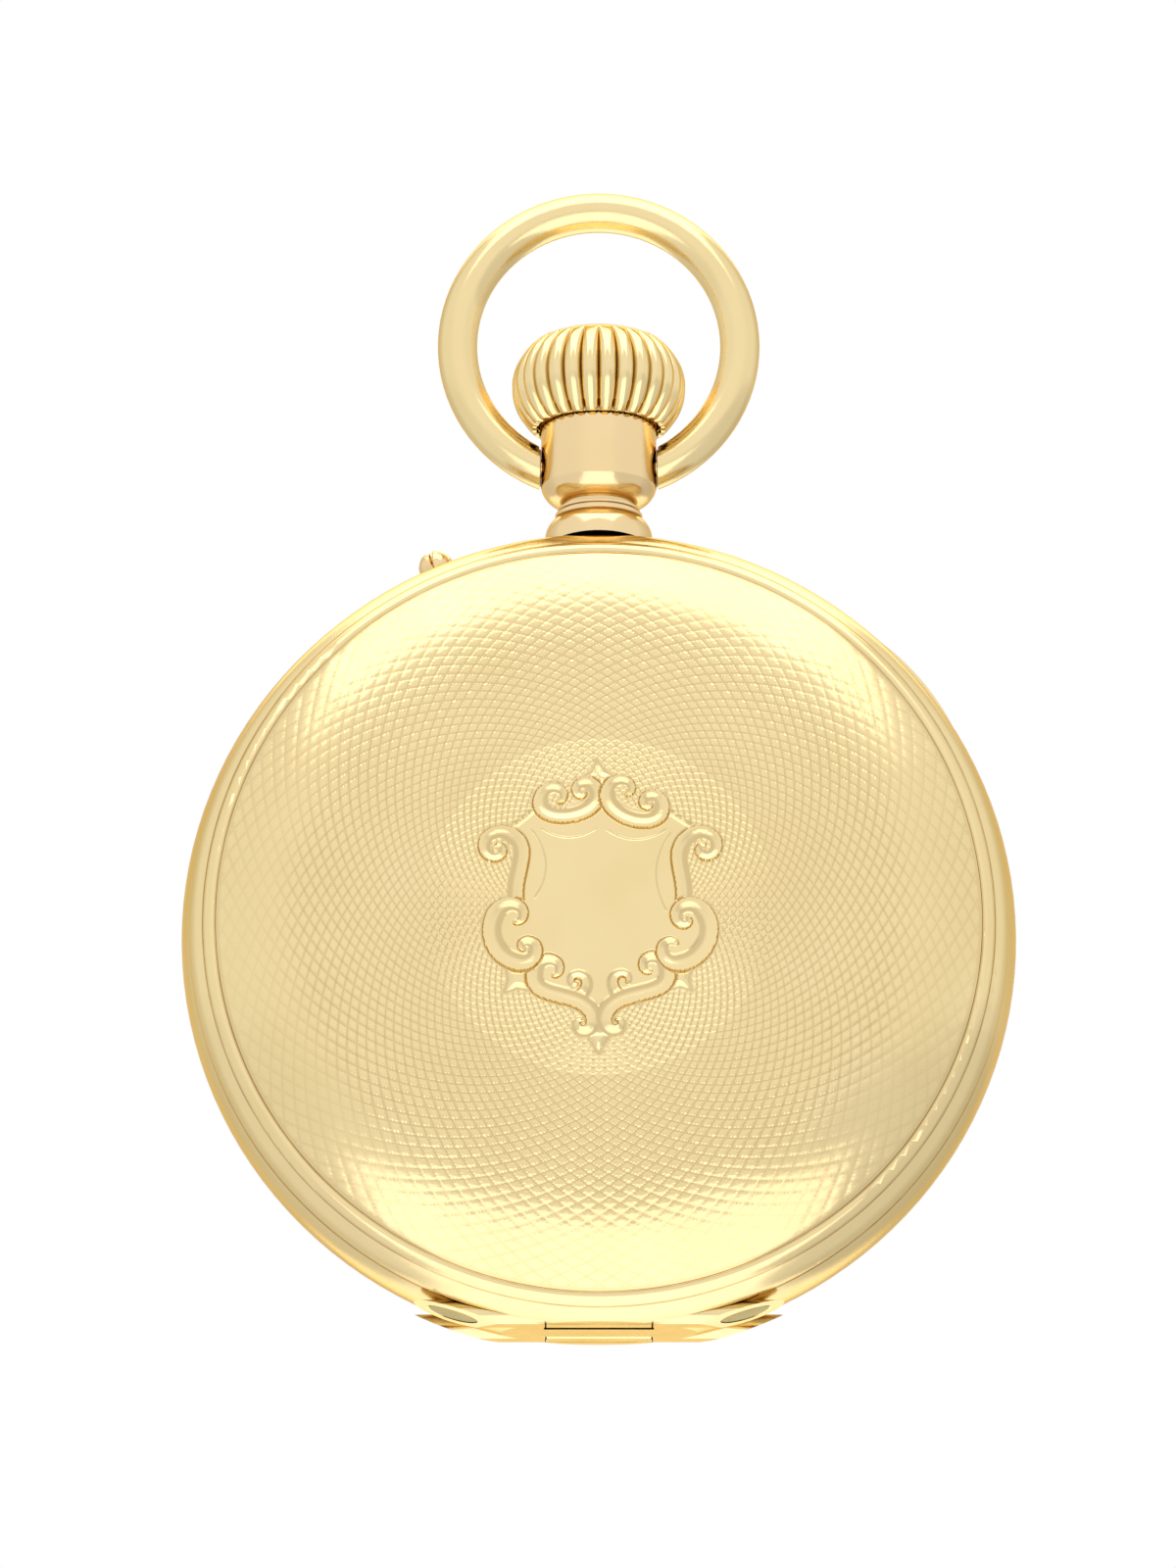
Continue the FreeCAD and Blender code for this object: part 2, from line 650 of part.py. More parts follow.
def make_joint_pin(label, side):
    """The pin of a case joint, filed to the curve of the case."""
    body = new_body(label)
    bar_x(body, label + "_bar", D["joint_y"] * side, D["joint_z"], D["joint_pin"], 0, 26)
    doc.recompute()
    trim_joint(body, 0.04)
    return body


def make_cuvette():
    """The inner cover over the movement, with its moving knuckle."""
    body = new_body("cuvette")
    rise = D["cuvette_top_y"] - D["cuvette_dome_y"]
    bend = dome_radius(D["cuvette_dome_r"], rise)
    turn(body, "cuvette_section", "XY", [
        (0, D["cuvette_top_y"]), Arc(bend, -1),
        (D["cuvette_dome_r"], D["cuvette_dome_y"]),
        (D["cuvette_r"], 3.1),
        (D["cuvette_r"], D["cuvette_edge_y"]),
        (D["cuvette_dome_r"], D["cuvette_edge_y"]),
        (D["cuvette_dome_r"], D["cuvette_dome_y"] - D["cuvette_wall"]), Arc(bend),
        (0, D["cuvette_top_y"] - D["cuvette_wall"]),
    ])
    doc.recompute()
    slab(body, "cuvette_joint_edge", box_points(-9, 9, -23, D["cuvette_trim_z"]), 2, 5, cut=True)
    half = D["cuvette_joint_half"]
    y, z = D["cuvette_joint_y"], D["cuvette_joint_z"]
    bar_x(body, "cuvette_knuckle", y, z, D["cuvette_joint_r"], 0, half * 2)
    slab(body, "cuvette_web", box_points(-half, half, -20.9, -20.2), 3.15, 3.5)
    doc.recompute()
    bar_x(body, "cuvette_bore", y, z, D["cuvette_pin"] + 0.03, 0, 4, cut=True)
    return body


def make_cuvette_lugs():
    """The two fixed knuckles of the inner cover's joint, soldered on the band."""
    y, z = mm("cuvette_joint_y"), mm("cuvette_joint_z")
    radius = mm("cuvette_joint_r")
    lugs = []
    for x0, x1 in ((-3.3, -1.5), (1.5, 3.3)):
        knuckle = Part.makeCylinder(radius, x1 - x0, Vector(x0, y, z), Vector(1, 0, 0))
        foot = block(x0, x1, mm("lip_y"), y, z - radius, z + radius)
        bore = Part.makeCylinder(mm("cuvette_pin") + 0.01, x1 - x0, Vector(x0, y, z), Vector(1, 0, 0))
        lugs.append(knuckle.fuse(foot).cut(bore).removeSplitter())
    return feature("cuvette_lugs", Part.makeCompound(lugs))


def make_cuvette_pin():
    """The pin of the inner cover's joint."""
    body = new_body("cuvette_joint_pin")
    bar_x(body, "cuvette_pin_bar", D["cuvette_joint_y"], D["cuvette_joint_z"], D["cuvette_pin"], 0, 6.4)
    return body


def make_pendant(band):
    """The neck of the case, saddled on the band, with bores for the stem and the bow's pivots."""
    body = new_body("pendant_blank")
    turn(body, "pendant_section", "XZ", [
        (D["stem_hole_r"], D["pendant_foot_z"]),
        (D["pendant_foot_r"], D["pendant_foot_z"]),
        (D["pendant_foot_r"], D["pendant_foot_z"] + 0.8), Arc(1.5),
        (D["pendant_ring_r"] - 0.1, D["pendant_ring_z"] - 0.05),
        (D["pendant_ring_r"], D["pendant_ring_z"]),
        (D["pendant_ring_r"], D["pendant_ring_z"] + 0.2),
        (D["pendant_neck_r"] + 0.15, D["pendant_ring_z"] + 0.25),
        (D["pendant_neck_r"] + 0.15, D["pendant_ring_z"] + 0.35),
        (D["pendant_neck_r"] + 0.25, D["pendant_ring_z"] + 0.4),
        (D["pendant_neck_r"] + 0.25, D["pendant_ring_z"] + 0.55),
        (D["pendant_neck_r"], D["pendant_ring_z"] + 0.65),
        (D["pendant_neck_r"], D["pendant_neck_z"]), Arc(1.4),
        (D["pendant_r"], D["pendant_shoulder_z"]),
        (D["pendant_r"], D["pendant_top_z"] - 0.3), Arc(0.4),
        (D["pendant_top_r"], D["pendant_top_z"]),
        (D["sleeve_hole_r"], D["pendant_top_z"]),
        (D["sleeve_hole_r"], D["sleeve_hole_z"]),
        (D["stem_hole_r"], D["sleeve_hole_z"]),
    ])
    doc.recompute()
    bar_x(body, "pivot_holes", 0, D["pivot_z"], D["pivot_hole_r"], 0, 9, cut=True)
    saddle = doc.addObject("Part::Cylinder", "pendant_saddle")
    saddle.setExpression("Radius", "Params.cover_r + 0.1")
    saddle.Height = 20
    saddle.Placement = Placement(Vector(0, 10, 0), Rotation(Vector(1, 0, 0), 90))
    saddled = doc.addObject("Part::Cut", "pendant_saddled")
    saddled.Base = body
    saddled.Tool = saddle
    pendant = doc.addObject("Part::Cut", "pendant")
    pendant.Base = saddled
    pendant.Tool = band
    return pendant


def make_bow():
    """The bow: a round wire ring, open at the pendant, with a pivot at each end."""
    wire = doc.addObject("Part::Torus", "bow_wire")
    wire.setExpression("Radius1", "Params.bow_r")
    wire.setExpression("Radius2", "Params.bow_wire_r")
    wire.Placement = Placement(Vector(0, 0, mm("bow_z")), Rotation(Vector(1, 0, 0), 90))
    gap = doc.addObject("Part::Box", "bow_gap")
    gap.setExpression("Length", "Params.bow_end_x * 2")
    gap.Width = 6
    gap.Height = 8
    gap.Placement = Placement(Vector(-mm("bow_end_x"), -3, 24), Rotation())
    opened = doc.addObject("Part::Cut", "bow_opened")
    opened.Base = wire
    opened.Tool = gap
    pins = []
    for side, start in (("left", -mm("bow_end_x") - 0.9), ("right", mm("sleeve_hole_r") + 0.2)):
        pin = doc.addObject("Part::Cylinder", f"bow_pin_{side}")
        pin.setExpression("Radius", "Params.pivot_r")
        pin.setExpression("Height", "Params.bow_end_x + 0.7 - Params.sleeve_hole_r")
        pin.Placement = Placement(Vector(start, 0, mm("pivot_z")), Rotation(Vector(0, 1, 0), 90))
        pins.append(pin)
    bow = doc.addObject("Part::MultiFuse", "bow")
    bow.Shapes = [opened] + pins
    return bow


def make_crown():
    """The fluted winding crown."""
    body = new_body("crown")
    cap = dome_radius(D["crown_high_r"], D["crown_top_z"] - D["crown_high_z"])
    turn(body, "crown_section", "XZ", [
        (D["stem_r"] + 0.02, D["crown_roof_z"]),
        (D["crown_room_r"], D["crown_roof_z"]),
        (D["crown_room_r"], D["crown_low_z"]),
        (D["crown_low_r"], D["crown_low_z"]), Arc(3.6),
        (D["crown_r"], D["crown_wide_z"]), Arc(3.6),
        (D["crown_high_r"], D["crown_high_z"]), Arc(cap),
        (0, D["crown_top_z"]),
        (0, D["stem_top_z"] + 0.05),
        (D["stem_r"] + 0.02, D["stem_top_z"] + 0.05),
    ])
    doc.recompute()
    sketch = new_sketch(body, "flute", "XY", D["crown_high_z"] - 0.05)
    draw_circle(sketch, D["crown_r"] + 0.12, 0, D["flute_r"])
    flute = extrude(body, sketch, D["crown_high_z"] - D["crown_low_z"] + 1, cut=True)
    pattern = body.newObject("PartDesign::PolarPattern", "flutes")
    pattern.Originals = [flute]
    pattern.Axis = (sketch, ["N_Axis"])
    pattern.Angle = 360
    pattern.setExpression("Occurrences", "Params.crown_flutes")
    body.Tip = pattern
    return body


def make_stem():
    """The winding stem, screwed into the crown."""
    body = new_body("winding_stem")
    turn(body, "stem_section", "XZ", [
        (0, D["stem_low_z"]),
        (0.35, D["stem_low_z"]),
        (0.35, D["stem_low_z"] + 0.5),
        (D["stem_r"], D["stem_low_z"] + 0.6),
        (D["stem_r"], D["stem_top_z"]),
        (0, D["stem_top_z"]),
    ])
    return body


def make_sleeve():
    """The sleeve round the stem: the crown pushes it down onto the latch spring."""
    body = new_body("push_sleeve")
    turn(body, "sleeve_section", "XZ", [
        (D["stem_bore_r"], D["sleeve_low_z"]),
        (D["sleeve_r"], D["sleeve_low_z"]),
        (D["sleeve_r"], D["sleeve_head_z"]),
        (D["sleeve_head_r"], D["sleeve_head_z"]),
        (D["sleeve_head_r"], D["sleeve_top_z"]),
        (D["stem_bore_r"], D["sleeve_top_z"]),
    ])
    return body


def make_pusher():
    """The set pusher: a ball-headed pin beside the pendant, pressed in to set the hands."""
    body = new_body("set_pusher")
    radius = D["pusher_r"]
    neck = D["pusher_stem_r"]
    drop = math.sqrt(radius.value ** 2 - neck.value ** 2)
    turn(body, "pusher_section", "XZ", [
        (0, D["pusher_low_z"]),
        (neck, D["pusher_low_z"]),
        (neck, D["pusher_head_z"] - drop), Arc(radius),
        (radius, D["pusher_head_z"]), Arc(radius),
        (0, D["pusher_head_z"] + radius),
    ])
    body.Placement = Placement(Vector(0, 0, 0), Rotation(Vector(0, 1, 0), mm("pusher_angle")))
    return body


def make_springs():
    """The latch spring under the push sleeve and the fly spring that lifts the front cover."""
    low, high = mm("channel_low") + 0.1, mm("channel_high") - 0.1
    coil = ring(21.8, 21.0, low, high)
    wedge = prism([(0, 0), (-26, 15), (-26, 30), (26, 30), (26, 15)], low - 1, high + 1)
    latch = coil.common(wedge)
    latch = latch.cut(Part.makeCylinder(0.85, 10, Vector(0, 0, 17)))
    pusher_room = Part.makeCylinder(mm("pusher_bore_r") + 0.25, 10, Vector(0, 0, 17))
    pusher_room.rotate(Vector(0, 0, 0), Vector(0, 1, 0), mm("pusher_angle"))
    latch = latch.cut(pusher_room)
    nose = block(*CATCH_X, mm("bezel_seat_y") + 0.1, high - 0.2, 21.35, 22.4)
    feature("latch_spring", latch.fuse(nose).removeSplitter())
    blade = ring(22.2, 21.7, low, high)
    sector = prism([(0, 0), (30, 8), (30, -30), (6, -30)], low - 1, high + 1)
    feature("fly_spring", blade.common(sector))


# ---------------------------------------------------------------- bezel, glass, dial and hands
def make_bezel():
    """The inner bezel that holds the glass and closes the dial side."""
    body = new_body("bezel")
    turn(body, "bezel_section", "XY", [
        (D["bezel_r"], D["bezel_low"]),
        (D["dial_r"] + 0.15, D["bezel_low"]),
        (D["dial_r"] + 0.15, D["dial_face_y"] - 0.03),
        (D["bezel_hole_r"], D["dial_face_y"] - 0.03),
        (D["bezel_hole_r"], D["glass_edge_y"]),
        (D["glass_seat_r"], D["glass_edge_y"]),
        (D["glass_seat_r"], D["bezel_top_y"]),
        (D["glass_seat_r"] + 0.2, D["bezel_top_y"]), Arc(1.9),
        (D["bezel_r"], -2.5),
    ])
    return body


def make_glass():
    """The domed watch glass."""
    body = new_body("crystal")
    outside = dome_radius(D["glass_r"], D["glass_rim_y"] - D["glass_top_y"])
    inside = dome_radius(D["glass_r"], D["glass_edge_y"] - D["glass_under_y"])
    turn(body, "glass_section", "XY", [
        (0, D["glass_top_y"]), Arc(outside),
        (D["glass_r"], D["glass_rim_y"]),
        (D["glass_r"], D["glass_edge_y"]), Arc(inside, -1),
        (0, D["glass_under_y"]),
    ])
    return body


def make_dial():
    """The enamel dial with a sunk seconds dial at 6."""
    body = new_body("dial")
    turn(body, "dial_section", "XY", [
        (D["dial_hole_r"], D["dial_face_y"]),
        (D["dial_r"], D["dial_face_y"]),
        (D["dial_r"], D["dial_back_y"]),
        (D["dial_hole_r"], D["dial_back_y"]),
    ])
    doc.recompute()
    sunk = D["dial_face_y"] + D["sub_dial_depth"]
    disc(body, "seconds_dial", D["fourth_x"], 0, D["sub_dial_r"], D["dial_face_y"] - 1, sunk, cut=True)
    disc(body, "seconds_hole", D["fourth_x"], 0, 0.35, D["dial_face_y"] - 1, D["dial_back_y"] + 1, cut=True)
    return body


def hour_hand_shape():
    """The hour hand, pointing to 12, with a spade near its tip."""
    low, high = -3.45, -3.27
    arm = prism([(-1, -0.3), (-1, 0.3), (-8.2, 0.2), (-8.2, -0.2)], low, high)
    shape = rod(1.35, low, high).fuse(arm)
    shape = shape.fuse(ring(1.15, 0.55, low, high, -8.4))
    shape = shape.fuse(prism([(-9.2, -0.6), (-9.2, 0.6), (-11.2, 0.0)], low, high))
    return shape.cut(rod(0.96, low, high)).removeSplitter()


def minute_hand_shape():
    """The minute hand, pointing to 12, with a long spade."""
    low, high = -3.95, -3.78
    arm = prism([(-0.7, -0.25), (-0.7, 0.25), (-12.4, 0.16), (-12.4, -0.16)], low, high)
    shape = rod(1.0, low, high).fuse(arm)
    shape = shape.fuse(ring(0.85, 0.4, low, high, -12.6))
    shape = shape.fuse(prism([(-13.2, -0.42), (-13.2, 0.42), (-15.9, 0.0)], low, high))
    return shape.cut(rod(0.6, low, high)).removeSplitter()


def seconds_hand_shape():
    """The seconds hand, pointing to 12, with a short tail."""
    low, high = -3.14, -3.04
    arm = prism([(1.4, -0.13), (1.4, 0.13), (-3.5, 0.03), (-3.5, -0.03)], low, high)
    shape = rod(0.42, low, high).fuse(arm)
    return shape.cut(rod(0.17, low, high)).removeSplitter()


MINUTE_AT = 60.0
HOUR_AT = 305.0
SECOND_AT = 200.0


def make_hands():
    """The three hands, set to ten past ten."""
    feature("hour_hand", hour_hand_shape(), turn_y=HOUR_AT)
    feature("minute_hand", minute_hand_shape(), turn_y=MINUTE_AT)
    feature("seconds_hand", seconds_hand_shape(), x=mm("fourth_x"), turn_y=SECOND_AT)


# ---------------------------------------------------------------- movement: plate and bridges
BARREL_BRIDGE = [(5.0, 21), (5.0, 10.5), (1.5, 6.5), (-1.6, 2.2), (-6.0, -2.8), (-21, -4.5), (-21, 21)]
TRAIN_BRIDGE = [(21, 21), (5.4, 21), (5.4, 10.4), (1.9, 6.3), (-1.2, 2.0), (-2.2, -1.2), (-1.0, -4.2),
                (0.0, -7.0), (9.5, -9.5), (21, -9.0)]
PIVOTS = [("third_x", "third_z"), ("fourth_x", None), ("escape_x", "escape_z")]


def place_of(names):
    """The x and z of a wheel."""
    across, up = names
    return mm(across), mm(up) if up else 0.0


def make_plate():
    """The main plate, with the trough for the stem and holes for the arbors."""
    body = new_body("main_plate")
    top = D["ledge_y"]
    turn(body, "plate_section", "XY", [
        (0.5, D["plate_front"]),
        (D["plate_r"], D["plate_front"]),
        (D["plate_r"], top),
        (0.5, top),
    ])
    doc.recompute()
    slab(body, "winding_room", box_points(-1.7, 1.7, 13.0, 18.6), D["plate_front"] - 1, top + 1, cut=True)
    bore_z(body, "stem_trough", D["stem_bore_r"], 11.8, 21)
    bore_z(body, "pusher_trough", D["pusher_bore_r"], 17.5, 21, mm("pusher_angle"))
    for name, x, z, radius in (
        ("third_jewel_seat", D["third_x"], D["third_z"], D["jewel_r"]),
        ("escape_jewel_seat", D["escape_x"], D["escape_z"], D["jewel_r"]),
        ("seconds_arbor_hole", D["fourth_x"], 0, 0.35),
        ("barrel_arbor_hole", D["barrel_x"], D["barrel_z"], D["barrel_arbor_room"]),
        ("fork_jewel_seat", D["fork_x"], D["fork_z"], D["jewel_r"]),
        ("balance_jewel_seat", D["balance_x"], D["balance_z"], D["big_jewel_r"]),
    ):
        disc(body, name, x, z, radius, D["plate_front"] - 1, top + 1, cut=True)
    disc(body, "minute_post", 0, D["minute_z"], 0.3, D["plate_front"] - 0.63, D["plate_front"])
    disc(body, "setting_post", 0, D["setting_z"], 0.4, D["plate_front"] - 0.45, D["plate_front"])
    doc.recompute()
    return body


def bridge(label, outline, holes):
    """A bridge: a plate on a wall that stands on the main plate, open round the balance."""
    body = new_body(label + "_blank")
    slab(body, label + "_top", outline, D["ledge_y"], D["bridge_high"])
    doc.recompute()
    disc(body, label + "_inside", 0, 0, D["bridge_wall_r"], D["ledge_y"] - 1, D["bridge_low"], cut=True)
    for row, (x, z, radius) in enumerate(holes):
        disc(body, f"{label}_hole_{row}", x, z, radius, D["ledge_y"] - 2, D["bridge_high"] + 1, cut=True)
    return body


def rounded_bridge(label, body):
    """Cuts a bridge to the round of the movement."""
    edge = doc.addObject("Part::Cylinder", label + "_edge")
    edge.setExpression("Radius", "Params.bridge_r")
    edge.Height = 8
    edge.Placement = Placement(Vector(0, 4, 0), Rotation(Vector(1, 0, 0), 90))
    piece = doc.addObject("Part::Common", label)
    piece.Base = body
    piece.Tool = edge
    return piece


def screw_holes(spots):
    """Clearance holes for bridge screws."""
    return [(x, z, mm("screw_r") + 0.01) for x, z in spots]


def make_bridges():
    """The barrel bridge with the groove for the crown wheel, and the train bridge."""
    holes = screw_holes(SCREWS[:4] + CASE_SCREWS[1:])
    holes.append((mm("barrel_x"), mm("barrel_z"), mm("barrel_arbor_room")))
    holes.append((mm("click_x"), mm("click_z"), 0.45))
    body = bridge("barrel_bridge", BARREL_BRIDGE, holes)
    groove = new_sketch(body, "crown_wheel_groove", "XZ", -D["bridge_high"])
    draw_circle(groove, 0, D["crown_wheel_z"], 2.75)
    draw_circle(groove, 0, D["crown_wheel_z"], 3.7)
    extrude(body, groove, 0.62, cut=True, flip=True)
    under, over = D["bridge_low"] - 1, D["bridge_high"] + 1
    slab(body, "pinion_slot", box_points(-1.6, 1.6, 12.9, 18.45), under, D["bridge_low"] + 0.4, cut=True)
    disc(body, "crown_wheel_screw_hole", 0, D["crown_wheel_z"], 0.45, under, over, cut=True)
    bore_z(body, "bridge_stem_hole", 0.7, 17, 21)
    bore_z(body, "bridge_pusher_hole", 0.6, 17, 21, mm("pusher_angle"))
    rounded_bridge("barrel_bridge", body)
    holes = screw_holes(SCREWS[4:] + CASE_SCREWS[:1])
    holes += [place_of(names) + (mm("jewel_r"),) for names in PIVOTS]
    holes += [(0, 0, mm("big_jewel_r")), (mm("balance_x"), mm("balance_z"), mm("balance_room_r"))]
    rounded_bridge("train_bridge", bridge("train_bridge", TRAIN_BRIDGE, holes))


def make_cocks():
    """The balance cock and the pallet cock."""
    x, z = mm("balance_x"), mm("balance_z")
    low, high = 2.35, 2.95
    outline = [(-12.6, -10.4), (-5.6, -8.9), (-3.6, -11.6), (-4.4, -15.6), (-8.6, -17.2)]
    foot = prism(outline, mm("ledge_y"), high)
    foot = foot.common(rod(mm("bridge_r"), -2, 5)).cut(rod(mm("balance_room_r"), -2, low, x, z))
    arm = prism([(-5.8, -9.4), (x - 0.5, z + 2.3), (x - 0.5, z - 2.3), (-5.6, -15.8)], low, high)
    shape = foot.fuse([arm, rod(2.3, low, high, x, z)])
    shape = shape.cut(rod(mm("jewel_r"), 0, 5, x, z))
    shape = shape.cut(rod(mm("screw_r") + 0.01, -2, 5, *COCK_SCREW))
    stud = block(x - 3.4, x - 2.95, 1.8, low, z - 0.25, z + 0.25)
    feature("balance_cock", shape.fuse(stud).removeSplitter())
    fork_x, fork_z = mm("fork_x"), mm("fork_z")
    screw_x, screw_z = FORK_SCREW
    post = rod(1.15, mm("ledge_y"), 0.95, screw_x, screw_z)
    outline = [(fork_x - 0.2, fork_z + 0.75), (fork_x - 0.8, fork_z - 0.5)]
    outline += [(screw_x - 0.6, screw_z - 0.9), (screw_x + 0.7, screw_z + 0.8)]
    beam = prism(outline, 0.6, 0.95)
    cock = post.fuse([beam, rod(0.9, 0.6, 0.95, fork_x, fork_z)])
    cock = cock.cut(rod(0.3, 0, 2, fork_x, fork_z)).cut(rod(mm("screw_r") + 0.01, -2, 2, screw_x, screw_z))
    feature("pallet_cock", cock.removeSplitter())


def make_screws():
    """Screws, grouped by kind."""
    head, seat = 0.3, mm("bridge_high")
    spots = []
    for x, z in SCREWS:
        spots.append(screw_shape(x, z, mm("screw_head_r"), mm("screw_r"), seat + 0.01, head, 1.3))
    feature("bridge_screws", Part.makeCompound(spots))
    feature("cock_screw", screw_shape(*COCK_SCREW, 1.0, mm("screw_r"), 2.96, 0.3, 1.6))
    feature("pallet_cock_screw", screw_shape(*FORK_SCREW, 0.65, mm("screw_r"), 0.96, 0.16, 0.9))
    spots = [screw_shape(x, z, 1.25, mm("screw_r"), seat + 0.01, 0.3, 1.3) for x, z in CASE_SCREWS]
    feature("case_screws", Part.makeCompound(spots))
    core = rod(1.15, seat + 0.01, 2.44, 0, mm("crown_wheel_z"))
    cap = screw_shape(0, mm("crown_wheel_z"), 1.9, 0.4, 2.44, 0.26, 0.96)
    feature("crown_wheel_screw", core.fuse(cap).removeSplitter())


def make_jewels():
    """The jewel bearings of the train, the fork and the balance."""
    radius, bore = mm("jewel_r") - 0.01, mm("jewel_bore")
    jewels = []
    for names in (PIVOTS[0], PIVOTS[2], ("fork_x", "fork_z")):
        x, z = place_of(names)
        jewels.append(ring(radius, bore, -0.9, -0.4, x, z))
    for names in PIVOTS:
        x, z = place_of(names)
        jewels.append(ring(radius, bore, 1.5, 2.0, x, z))
    x, z = place_of(("balance_x", "balance_z"))
    jewels.append(ring(mm("big_jewel_r") - 0.01, bore, -0.9, -0.4, x, z))
    jewels.append(ring(radius, bore, 2.4, 2.9, x, z))
    x, z = place_of(("fork_x", "fork_z"))
    jewels.append(ring(0.29, bore, 0.62, 0.93, x, z))
    jewels.append(ring(mm("big_jewel_r") - 0.01, 0.31, 1.5, 2.0))
    feature("jewels", Part.makeCompound(jewels))


# ---------------------------------------------------------------- movement: power and train
def make_barrel():
    """The mainspring barrel with its cover, spring and arbor."""
    x, z = mm("barrel_x"), mm("barrel_z")
    low = 0.12
    drum = toothed(80, mm("barrel_r"), 0.42, low, low + 0.25)
    drum = drum.fuse(ring(7.05, 6.85, low + 0.25, 1.02)).cut(rod(1.0, low, 2))
    feature("mainspring_barrel", drum.removeSplitter(), x, z)
    feature("barrel_cover", ring(6.83, 1.0, 0.9, 1.02), x, z)
    feature("mainspring", spiral_strip(2.0, 6.55, 9, 0.16, 0.45, 0.85), x, z)
    top = mm("bridge_high")
    square = rod(0.8, top, 2.42)
    feature("barrel_arbor", rod(0.9, -1.1, top).fuse([rod(1.6, 0.45, 0.85), square]).removeSplitter(), x, z)
    wheel = toothed(64, 6.4, 0.4, 2.12, 2.42).cut(rod(0.81, 2, 3))
    feature("ratchet_wheel", wheel, x, z)
    feature("ratchet_screw", screw_shape(0, 0, 1.7, 0.4, 2.43, 0.26, 0.005), x, z)
    wheel = toothed(36, 3.6, 0.4, 2.12, 2.42).fuse(ring(3.5, 2.95, 1.52, 2.12)).cut(rod(1.2, 1, 3))
    feature("crown_wheel", wheel.removeSplitter(), 0, mm("crown_wheel_z"))


def make_click():
    """The click that holds the ratchet wheel, with its spring."""
    x, z = mm("click_x"), mm("click_z")
    away = Vector(mm("barrel_x") - x, 0, mm("barrel_z") - z)
    reach = away.Length - 6.42 - 0.08
    toward = away.normalize()
    side = Vector(-toward.z, 0, toward.x)
    tip = toward * reach + side * 1.1
    root = [side * 0.85, toward * 0.8, side * -0.5]
    blade = prism([(point.x, point.z) for point in (root[0], tip, root[1], root[2])], 2.12, 2.42)
    shape = rod(0.95, 2.12, 2.42).fuse(blade).fuse(rod(0.43, 1.2, 2.12)).removeSplitter()
    feature("click", shape, x, z)
    spring = ring(4.2, 4.0, 2.13, 2.35).common(prism([(0, 0), (-6, 3), (-6, -7), (0, -6)], 2, 3))
    feature("click_spring", spring, x + 2.75, z - 2.6)


def pinion_z(teeth, pitch_r, depth, low, high):
    """A toothed drum along Z."""
    shape = toothed(teeth, pitch_r, depth, low, high)
    shape.rotate(Vector(0, 0, 0), Vector(1, 0, 0), 90)
    return shape


def make_keyless():
    """The pinions on the stem and the yoke that moves the sliding pinion."""
    bore = Part.makeCylinder(mm("stem_bore_r"), 20, Vector(0, 0, 5))
    feature("winding_pinion", pinion_z(18, 1.42, 0.25, 16.75, 18.25).cut(bore))
    lower = pinion_z(18, 1.35, 0.25, 14.5, 15.2)
    upper = pinion_z(18, 1.35, 0.25, 15.8, 16.6)
    core = Part.makeCylinder(0.95, 2.1, Vector(0, 0, 14.5))
    feature("sliding_pinion", core.fuse([lower, upper]).cut(bore).removeSplitter())
    yoke = prism([(-1.05, 15.3), (-1.05, 15.65), (-3.2, 16.0), (-6.3, 17.1), (-7.2, 16.9), (-6.4, 16.2),
                  (-3.0, 15.3)], -0.15, 0.15)
    feature("setting_yoke", yoke)


def arbor(pivot_low, low, high, pivot_high, radius, pivot=0.12):
    """An arbor with a thin pivot at each end."""
    return rod(radius, low, high).fuse(rod(pivot, pivot_low, pivot_high))


def train_wheel(teeth, pitch_r, depth, low, high, spokes=5):
    """A spoked wheel of the train."""
    shape = toothed(teeth, pitch_r, depth, low, high)
    return crossed(shape, pitch_r - depth - 0.35, pitch_r * 0.22, spokes, pitch_r * 0.09, low, high)


def make_train():
    """The centre, third, fourth and escape wheels on their arbors."""
    shape = train_wheel(80, 6.0, 0.34, -0.15, 0.05).fuse(toothed(10, 0.95, 0.3, 0.05, 0.62))
    shape = shape.fuse([rod(0.45, -1.5, 1.05), rod(0.28, -4.1, -1.5), rod(0.29, 1.05, 1.95)])
    feature("center_wheel", shape.removeSplitter())
    shape = train_wheel(75, 4.125, 0.26, 0.75, 0.92).fuse(toothed(10, 0.75, 0.24, -0.16, 0.3))
    shape = shape.fuse(arbor(-0.8, -0.16, 1.05, 1.9, 0.24)).removeSplitter()
    feature("third_wheel", shape, mm("third_x"), mm("third_z"))
    shape = train_wheel(70, 4.2, 0.24, 0.35, 0.5).fuse(toothed(10, 0.55, 0.2, 0.6, 0.98))
    shape = shape.fuse([arbor(-0.3, -0.15, 1.05, 1.9, 0.24), rod(0.16, -3.2, -0.15)])
    feature("fourth_wheel", shape.removeSplitter(), mm("fourth_x"))
    wheel = escape_wheel_shape().fuse(toothed(7, 0.42, 0.16, 0.3, 0.6))
    wheel = wheel.fuse(arbor(-0.8, -0.16, 1.05, 1.9, 0.2)).removeSplitter()
    feature("escape_wheel", wheel, mm("escape_x"), mm("escape_z"))


def escape_wheel_shape():
    """The escape wheel with its fifteen hooked teeth."""
    points = []
    for tooth in range(15):
        for share, radius in ((-0.32, 2.35), (0.0, 3.2), (0.06, 3.2), (0.1, 2.5), (0.3, 2.3)):
            angle = 2 * math.pi * (tooth + share) / 15
            points.append((radius * math.cos(angle), radius * math.sin(angle)))
    return crossed(prism(points, 0.12, 0.27), 2.0, 0.6, 4, 0.35, 0.12, 0.27)


